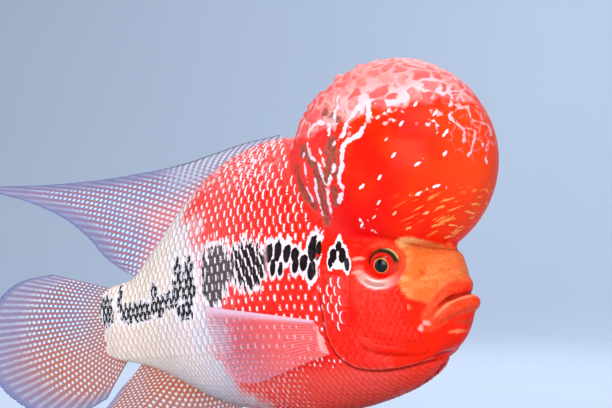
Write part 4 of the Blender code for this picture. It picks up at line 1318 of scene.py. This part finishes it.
def skin_look():
    look = Look("wet_skin", roughness=0.36, coat=0.09, Specular_IOR_Level=0.02, Coat_Roughness=0.16)
    fish = look.stored("fish")
    x, _, z = look.parts("fish")
    hump, tan_face, lip = look.parts("regions")
    pale, mouth, blotch = look.parts("regions_two")
    from_eye, _, eye_ring = look.parts("eye_place")
    crease = look.parts("hump_net")[2]
    cloud = look.noise(fish, 0.06, 3)
    fine = look.noise(fish, 0.55, 3)
    grain = look.noise(fish, 2.2)

    body = look.layers(
        look.mix(cloud.within(0.35, 0.7), RED, (248, 52, 32)),
        (z.within(-8, -34) * x.within(150, 132) * 0.35, PINK),
        (z.within(14, -16) * x.within(138, 162), (250, 32, 4)),
        (z.within(-22, -30) * x.within(120, 140) * 0.5, (246, 34, 12)),
        (pale * fine.within(0.1, 0.5), LAVENDER))
    ball, zone, line = hump_colour(look)
    skin = look.mix(hump, body, dash_colour(look, ball, zone))

    def ragged(depth, start, end, *places):
        """Ovals with uneven edges, which fade from start to end."""
        return (ovals(x, z, *places) + depth * (fine - 0.5)).within(start, end)

    shade = (blotch * (from_eye - 8.7).size().within(1.3, 0.7)).within(0.35, 0.8)
    skin = look.layers(
        skin,
        ((tan_face + 0.5 * (fine - 0.5)).within(0.1, 0.9), face_colour(look, x, z)),
        (eye_ring * 0.85, look.mix(fine.within(0.3, 0.7), (238, 70, 28), (226, 48, 26))),
        # A painted shade line in the crease under the hump.
        (crease.size().within(0.7, 0.15) * x.within(156, 161) * 0.75, (190, 60, 20)),
        (blotch * fine.within(0.05, 0.35), (240, 216, 204)),
        (shade * 0.8, (186, 98, 84)),
        (ovals(x, z, (NOSTRIL[0], NOSTRIL[2], 1.0, 0.6)).within(1.3, 0.5) * 0.7, (204, 76, 30)),
        (ragged(1.2, 1.3, 0.4, (139.6, 19.8, 3.2, 0.9), (139.2, 14.2, 2.4, 0.8)) * 0.6, (236, 176, 150)))
    # A painted highlight along the lower lip's upper edge by the mouth, fading towards the corner.
    painted_lip_highlight = lip * mouth.within(0.6, 1.2) * mouth.within(2.6, 1.6) * x.within(165, 171)
    # Painted shade in the gap between the lips.
    gap = mouth.size().within(0.95, 0.35) * (0.3 * x.within(163.2, 165.0) + 0.7 * x.within(167, 171))
    skin = look.layers(
        skin,
        (lip * 0.9, look.mix(fine.within(0.3, 0.7), (248, 82, 44), (248, 58, 22))),
        (painted_lip_highlight * 0.6, (252, 160, 116)),
        (gap * 0.9, (164, 34, 14)),
        (ragged(1.4, 1.3, 0.4, (163.6, -8.7, 1.7, 1.2), (161.2, -11.0, 0.9, 1.9)) * 0.6, (250, 196, 184)),
        # The patch at x 157 is the face's own warm colour; the pale one on the chin is a painted highlight.
        (ragged(1.4, 1.3, 0.4, (157, -1.6, 2.0, 1.6), (172.5, -13.4, 2.6, 1.0)) * 0.6, (248, 146, 96)),
        # Painted shade under the front of the lower lip.
        (ragged(1.2, 1.3, 0.4, (175.5, -9.8, 2.8, 1.4)) * 0.5, (176, 72, 40)))
    # Painted shadows and a painted highlight along the gill cover and the cheek ridge, then the crown mark.
    look.set("Base Color", head_mark(look, gill_shadow_lines(look, skin), x, z))
    look.set("Roughness", 0.30 + 0.16 * fine)
    look.bump(fine * 0.5 + grain * 0.25 + line * 0.3, 0.5)
    return look


wet_skin = skin_look()
wet_skin.onto(skin)
print("skin nodes:", len(wet_skin.tree.nodes))

# %% [markdown]
# ## The flank's dark marks
# A flowerhorn's dark marks follow the scales: behind they are rows of short upright bars, one to a scale,
# and in front larger bars stand apart, each in its own white outline. The front ones are drawn as ovals.

# %% Dark marks
FRONT_BARS = ((97.7, 25.3, 1.5, 3.2), (102.1, 26.0, 1.4, 3.5), (106.9, 24.9, 1.4, 3.2),
              (110.9, 23.8, 1.6, 2.2), (100.3, 19.3, 1.2, 2.9), (104.3, 18.3, 1.0, 2.3),
              (111.7, 19.4, 1.3, 2.6), (115.7, 20.2, 1.5, 2.9), (119.2, 25.6, 1.6, 4.2),
              (122.3, 24.6, 1.2, 3.2), (119.6, 16.6, 1.5, 3.2))
print("front bars:", len(FRONT_BARS))


def brush_marks(look, skin, across, roll):
    """The dark marks along the flank, with white round and between the bars. The left side's are moved."""
    spot = look.stored("spot")
    x, y, z = look.parts("spot")
    mark, back, _ = look.parts("mark")
    ragged = look.noise(look.moved(spot, (0.62, 0, 0.13)), 1.0) - 0.5
    broken = look.noise(look.moved(spot, (0.6, 0, 0.4), (7, 0, 3)), 1.0) - 0.5
    front, stalk = x.within(95, 98), x.within(63, 60)
    grey = x.within(61, 64) * x.within(81, 77)
    back = back + 0.08 * (roll - 0.5) + 0.12 * broken
    start, end = 0.36 + 0.20 * stalk, 0.99 - 0.13 * stalk
    bar = (back - start).within(-0.02, 0.02) * (end - back).within(-0.02, 0.02)
    slash = (back - 0.13 * across - 0.71).size().within(0.075, 0.045) * across.size().within(0.66, 0.5)
    dot = (back - 0.70).size().within(0.07, 0.04) * across.size().within(0.42, 0.3)
    gap = look.node("ShaderNodeMix", None, {0: grey, 2: slash * x.within(60, 64) * (1 - front), 3: dot})
    left = y.within(-1, 1)
    bars = ovals(x - 0.14 * (z - 21) + 1.0 * ragged + 2.2 * left, z + 2.0 * broken - 1.2 * left, *FRONT_BARS)
    white = (mark + 2.0 * ragged + 0.8 * broken).within(1.40, 1.26) * (1 - front)
    white = white.most((bars + 1.6 * broken).within(2.10, 1.92) * front)
    black = (mark + 2.2 * ragged).within(1.10, 1.02) * bar * (1 - gap) * (1 - front)
    black = black.most((bars + 0.8 * broken).within(1.38, 1.22) * front)
    return look.layers(skin, (white * 0.85, (240, 232, 236)),
                       (black, look.mix(grey * 0.55, (26, 16, 18), (112, 100, 106))))


# %% [markdown]
# ## Scale finish
# Each scale is glassy red with a darker root, and carries one upright dash of pearl near its free edge. Rear
# scales are pearly pink and cream. Where a point lies on its plate decides most of this.

# %% Scale material


def scale_look():
    look = Look("pearled_scale", roughness=0.34, coat=0.16, Specular_IOR_Level=0.04, Coat_Roughness=0.1)
    along, across, roll = look.parts("plate")
    pale, dark, dash = look.parts("tone")
    _, belly, blotch = look.parts("tone_two")
    thin, _, cheek = look.parts("tone_three")
    x, _, z = look.parts("fish")
    cloud = look.noise(look.stored("fish"), 0.05)
    speck = look.noise(look.moved(look.stored("plate"), (2.0, 2.5, 9.0)), 1.0)
    rim = along.within(0.86, 0.97)
    throat = z.within(-4, -26) * x.within(140, 160)
    red = look.layers(
        look.mix(cloud.within(0.35, 0.68) * x.within(116, 96), (246, 30, 14), (240, 42, 34)),
        (z.within(45, 72) * 0.35, PINK),
        (x.within(92, 66) * 0.2, PINK),
        (along.within(0.66, 0.45) * 0.55, DEEP_RED),
        (rim * 0.12 * (1 - cheek), (250, 110, 90)),
        (belly * 0.35, (248, 120, 108)),
        (throat.most(cheek * 0.5) * 0.8, look.mix(rim * 0.5, (248, 40, 14), (252, 92, 56))),
        (cheek * along.within(0.8, 0.5) * 0.6, (222, 20, 8)))
    rear = look.layers(
        look.mix(cloud.within(0.4, 0.62), LAVENDER, (226, 210, 211)),
        (x.within(62, 24) * 0.75, CREAM),
        (along.within(0.72, 0.5) * 0.28, (238, 150, 142)),
        (along.within(0.90, 0.99) * 0.25, look.mix(x.within(50, 24), (240, 164, 160), (224, 168, 122))))

    past_tip = (across - 0.12 * (roll - 0.5)).size() - dash
    middle = 0.80 + 0.05 * (roll - 0.5) + 0.10 * dark
    from_dash = (along - middle + 0.10 * (speck - 0.5)).size()
    has_dash = dash.within(0.04, 0.06)
    pearl = from_dash.within(thin + 0.03, thin - 0.02) * past_tip.within(0.10, -0.06) * has_dash
    glow = (along - middle).size().within(0.2, 0.05) * past_tip.within(0.3, 0) * has_dash
    skin = look.layers(
        look.mix(pale, red, rear),
        (glow * 0.15, PINK),
        (pearl * (1 - belly * 0.45) * (1 - 0.2 * pale - 0.3 * pale * z.within(6, -8)), PEARL))
    skin = brush_marks(look, skin, across, roll)
    skin = look.mix(blotch * speck.within(0.50, 0.58) * 0.75, skin, (242, 226, 230))
    # Painted shadows and a painted highlight along the gill cover's edge and the cheek ridge.
    look.set("Base Color", gill_shadow_lines(look, skin))
    look.set("Roughness", 0.28 + 0.2 * speck)
    return look


pearled_scale = scale_look()
pearled_scale.onto(*flank_pieces)
print("scale nodes:", len(pearled_scale.tree.nodes))

# %% [markdown]
# ## Fin finish
# The webs are clear, with rows of white spots between the rays. The rays are orange near the root and blue
# grey at the edge. Clearness goes through Alpha, which is the same from every side.

# %% Fin material


def fin_look(name, root, ray_tint, web, edge, spots=1.0, alpha=0.5):
    """Colours run from the root to the web and the edge. spots is how strong the rows of white spots are."""
    look = Look(name, roughness=0.34, coat=0.12, Specular_IOR_Level=0.3)
    ray, length, share = look.parts("web")
    ridge = look.stored("ridge", "Fac")
    cloud = look.noise(look.stored("fish"), 0.07)
    loose = look.noise(look.moved(look.stored("web"), (1.3, 0.5, 0)), 1.0, 1)
    step = length / 2.5 + 0.5 * ray.math("FLOOR", ray)
    long = share.within(0.55, 0.85)
    over = (ray.part() - 0.5) / (0.13 + 0.24 * loose - 0.06 * long)
    down = (step.part() - 0.5) / (0.13 + 0.22 * loose) * (1 - 0.7 * long)
    over, down = over * over, down * down
    spot = (over * over + down * down).within(1.4, 0.6) * spots * share.within(0.98, 0.92)
    spot = spot * share.within(0.0, 0.04) * (1 - 0.75 * long)
    strands = ((ray * 4).part() - 0.5).size().within(0.25, 0.42) * long
    colour = look.layers(
        look.mix(share.within(0.02, 0.45), root, web),
        (cloud.within(0.35, 0.7) * 0.35, edge),
        (ridge.within(0.02, 0.4) * 0.85, look.mix(share.within(0.45, 0.95), ray_tint, (134, 126, 164))),
        (strands * 0.6, (160, 112, 132)),
        (share.within(0.94, 1.0) * 0.6, edge),
        (spot * 0.85, (214, 224, 238)))
    solid = alpha + 0.25 * ridge + 0.45 * spot + share.within(0.30, 0.0) * 0.45
    return look, colour, solid, spot, ridge


def fin_finish(look, colour, solid, spot, ridge, *nodes):
    look.set("Base Color", colour)
    look.set("Alpha", solid.least(1.0))
    look.bump(ridge + 0.3 * spot, 0.2)
    look.onto(*(fin_pieces[node] for node in nodes))
    print(look.material.name, "on", *nodes)


def tail_fin_look():
    look, colour, solid, spot, ridge = fin_look(
        "tail_fin_web", (206, 132, 92), (184, 76, 48), (120, 128, 164), (86, 108, 172), alpha=0.6)
    fish = look.stored("fish")
    x, _, z = look.parts("fish")
    share = look.parts("web")[2]
    mark = (ovals(x, z, (-3.6, 5.0, 6.2, 6.8)) + 0.5 * (look.noise(fish, 0.4) - 0.5)).within(1.08, 0.92)
    bars = look.noise(look.moved(fish, (0.9, 0, 0.22)), 1.0).within(0.50, 0.56)
    colour = look.layers(
        colour,
        (z.within(4, -18) * share.within(1.0, 0.5) * (0.65 + 0.35 * ridge), (196, 92, 32)),
        (share.within(0.10, 0.02) * 0.8, CREAM),
        (spot * 0.85, (214, 218, 218)),
        (mark, look.mix(bars, (28, 22, 26), (214, 220, 228))))
    fin_finish(look, colour, solid.most(mark * 0.95), spot, ridge, "caudal_fin", "anal_fin")


def back_fin_look():
    look, colour, solid, spot, ridge = fin_look(
        "back_fin_web", (226, 140, 140), (186, 86, 82), (128, 142, 182), (90, 112, 176), alpha=0.58)
    ray, length, share = look.parts("web")
    spiny = look.parts("fish")[0].within(26, 44)
    stripe = ((length / 2.6 + 0.45 * ray).part() - 0.5).size().within(0.36, 0.2) * share.within(0.12, 0.35)
    colour = look.layers(
        colour,
        (spiny * share.within(0.15, 0.5) * 0.85, look.mix(stripe * 0.7, (204, 206, 220), (120, 110, 130))),
        (spiny * share.within(0.90, 0.97) * 0.8, (62, 58, 84)))
    fin_finish(look, colour, solid.most(spiny * 0.8), spot * (1 - spiny), ridge, "dorsal_fin")


def breast_fin_look():
    look, colour, solid, spot, ridge = fin_look(
        "breast_fin_web", (252, 70, 66), (253, 120, 120), (252, 128, 130), (246, 170, 180), spots=0.0,
        alpha=0.24)
    ray, _, share = look.parts("web")
    top = ray.within(2.8, 0.4)
    band = (share - 0.10).size().within(0.06, 0.03)
    rays = ridge.within(0.15, 0.7) * share.within(0.12, 0.2) * share.within(0.55, 0.3)
    colour = look.layers(
        colour,
        (top * 0.85 * share.within(0.02, 0.2), (226, 190, 210)),
        (band * 0.5, (252, 196, 194)),
        (rays * 0.7, (253, 196, 188)))
    solid = solid.most(top * 0.85).most(band * 0.9).most(rays * 0.6)
    fin_finish(look, colour, solid, spot, ridge, "pectoral_fin_right", "pectoral_fin_left")


def belly_fin_look():
    fin_finish(*fin_look("belly_fin_web", (244, 130, 104), (238, 196, 184), (240, 218, 214), (222, 210, 224),
                         spots=0.4, alpha=0.6), "pelvic_fin_right", "pelvic_fin_left")


tail_fin_look()
back_fin_look()
breast_fin_look()
belly_fin_look()

# %% [markdown]
# ## Eye and stand finish
# The pupil is matt black under a clear gloss, with a thin gold ring and painted shade over it, a red iris and
# dark green above it; a painted highlight lies on the eye's upper front rim.
# The stand is polished black sheet with brushed steel rods, plain so that the fish is what is looked at.

# %% Eye and stand materials


def eye_look():
    look = Look("eye_wet_ball", roughness=0.12, coat=0.35, Specular_IOR_Level=0.15)
    radius, ahead, above = look.parts("eye")
    fine = look.noise(look.stored("fish"), 1.6)
    iris = look.layers(
        look.mix(fine.within(0.35, 0.7), (240, 28, 10), (216, 18, 8)),
        (radius.within(3.3, 2.8) * 0.7, (120, 6, 6)))
    # A painted highlight: a pale green line on the upper front edge of the eye's opening.
    rim = radius.within(6.35, 6.7) * above.within(0.1, 0.4)
    around = look.layers(
        look.mix(above.within(-0.1, 0.25), (214, 60, 36), (34, 40, 20)),
        (rim * ahead.within(-0.2, 0.6), (190, 204, 128)))
    shade = (radius - 3.7).size().within(0.8, 0.3) * above.within(0.3, 0.8)
    look.set("Base Color", look.layers(
        look.mix(radius.within(5.15, 5.4), iris, around),
        (shade * 0.7, (60, 12, 6)),
        (radius.within(2.74, 2.82) * radius.within(3.12, 2.98), (236, 150, 44)),
        (radius.within(2.84, 2.72), (5, 6, 9))))
    return look


def stand_look(name, stretch, scale, detail, dark, light, even, uneven, **inputs):
    """A plain finish whose colour and roughness vary a little with one noise."""
    look = Look(name, **inputs)
    place = look.node("ShaderNodeTexCoord", out="Object")
    grain = look.noise(look.moved(place, stretch) if stretch else place, scale, detail)
    look.set("Base Color", look.mix(grain, dark, light))
    look.set("Roughness", even + uneven * grain)
    return look


def refinish(look, *nodes):
    for node in nodes:
        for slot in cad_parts[node].material_slots:
            slot.material = look.material
    print(look.material.name, "on", *nodes)


eye_look().onto(*eyes)
refinish(stand_look("stand_sheet", None, 60.0, 3, (24, 25, 28), (34, 35, 39), 0.14, 0.14,
                    roughness=0.16, coat=0.3), "stand_base")
refinish(stand_look("stand_rod_steel", (900, 900, 40), 1.0, 2, (170, 172, 176), (206, 208, 210), 0.22, 0.2,
                    roughness=0.3, Metallic=1.0), "stand_rod_front", "stand_rod_rear")

# %% [markdown]
# ## Studio
# A photographer's sweep hides where the floor ends. Five soft lamps light the fish: a key from above in
# front, a fill from the tail's side, one behind for the outline, one on the wall, and a broad low one that
# lifts the belly. An even glow all round keeps the shadows open and the reds full.

# %% Floor and lamps
FLOOR_FRONT, FLOOR_BACK, FLOOR_HALF_WIDTH = -2.2, 1.2, 4.0
BEND, WALL_TOP = 0.8, 3.0


def sweep():
    """A floor that curves up behind the fish into a wall."""
    profile = [(FLOOR_FRONT, 0.0), (FLOOR_BACK, 0.0)]
    profile += [(FLOOR_BACK + BEND * math.sin(turn), BEND - BEND * math.cos(turn))
                for turn in np.linspace(0.1, math.pi / 2, 14)]
    profile += [(FLOOR_BACK + BEND, WALL_TOP)]
    points = [(x, y, z) for y, z in profile for x in (-FLOOR_HALF_WIDTH, FLOOR_HALF_WIDTH)]
    faces = [(2 * i, 2 * i + 1, 2 * i + 3, 2 * i + 2) for i in range(len(profile) - 1)]
    floor = bpy.data.objects.new("studio_floor", new_mesh("studio_floor", points, faces))
    bpy.context.scene.collection.objects.link(floor)
    look = Look("studio_paper", roughness=0.9)
    place = look.node("ShaderNodeTexCoord", out="Object")
    look.set("Base Color", look.mix(look.noise(place, 3.0), (196, 209, 228), (203, 215, 232)))
    look.onto(floor)


def lamp(name, place, aim, power, size, colour=(1, 1, 1)):
    light = bpy.data.lights.new(name, "AREA")
    light.energy, light.size, light.color = power, size, colour
    held = bpy.data.objects.new(name, light)
    held.location = place
    held.rotation_euler = (Vector(aim) - Vector(place)).to_track_quat("-Z", "Y").to_euler()
    bpy.context.scene.collection.objects.link(held)
    print(name, "lamp:", power, "W")


sweep()
lamp("key", (0.45, -0.75, 0.95), (0, 0, 0.1), 7.4, 0.7)
lamp("fill", (-0.9, -0.8, 0.35), (0, 0, 0.1), 4.6, 0.8, (0.9, 0.95, 1.0))
lamp("rim", (-0.3, 0.8, 0.8), (0, 0, 0.12), 3.2, 0.6)
lamp("wall", (0, 1.0, 1.9), (0, 2.0, 0.4), 16, 1.4, (0.92, 0.96, 1.0))
lamp("low", (0.62, -1.5, 0.28), (0.03, 0, 0.07), 17, 0.9)
world = bpy.data.worlds.new("studio_air")
bpy.context.scene.world = world
world.use_nodes = True
air = world.node_tree.nodes["Background"].inputs
air["Color"].default_value = (0.82, 0.88, 1.0, 1)
air["Strength"].default_value = 0.40
bpy.context.scene.view_settings.view_transform = "Standard"

# %% [markdown]
# ## Camera
# The camera looks level at the fish, which turns its head towards it. A long lens from nine tenths of a metre
# gives the outline its true shape, and the aim is set so that the frame cuts the tail and the belly off.

# %% Camera
VIEW_TURN = math.radians(27)
VIEW_DISTANCE = 0.9
VIEW_POINT = Vector((0, 0, 0.136))
PIXELS_PER_METRE = 2300
FRAME_WIDTH = 612
SENSOR_WIDTH = 36
camera_data = bpy.data.cameras.new("camera")
camera_data.sensor_width = SENSOR_WIDTH
camera_data.lens = PIXELS_PER_METRE * VIEW_DISTANCE / FRAME_WIDTH * SENSOR_WIDTH
camera = bpy.data.objects.new("camera", camera_data)
back = Vector((math.sin(VIEW_TURN), -math.cos(VIEW_TURN), 0))
camera.location = VIEW_POINT + back * VIEW_DISTANCE
camera.rotation_euler = (-back).to_track_quat("-Z", "Y").to_euler()
bpy.context.scene.collection.objects.link(camera)
bpy.context.scene.camera = camera
print("lens:", round(camera_data.lens, 1), "mm")
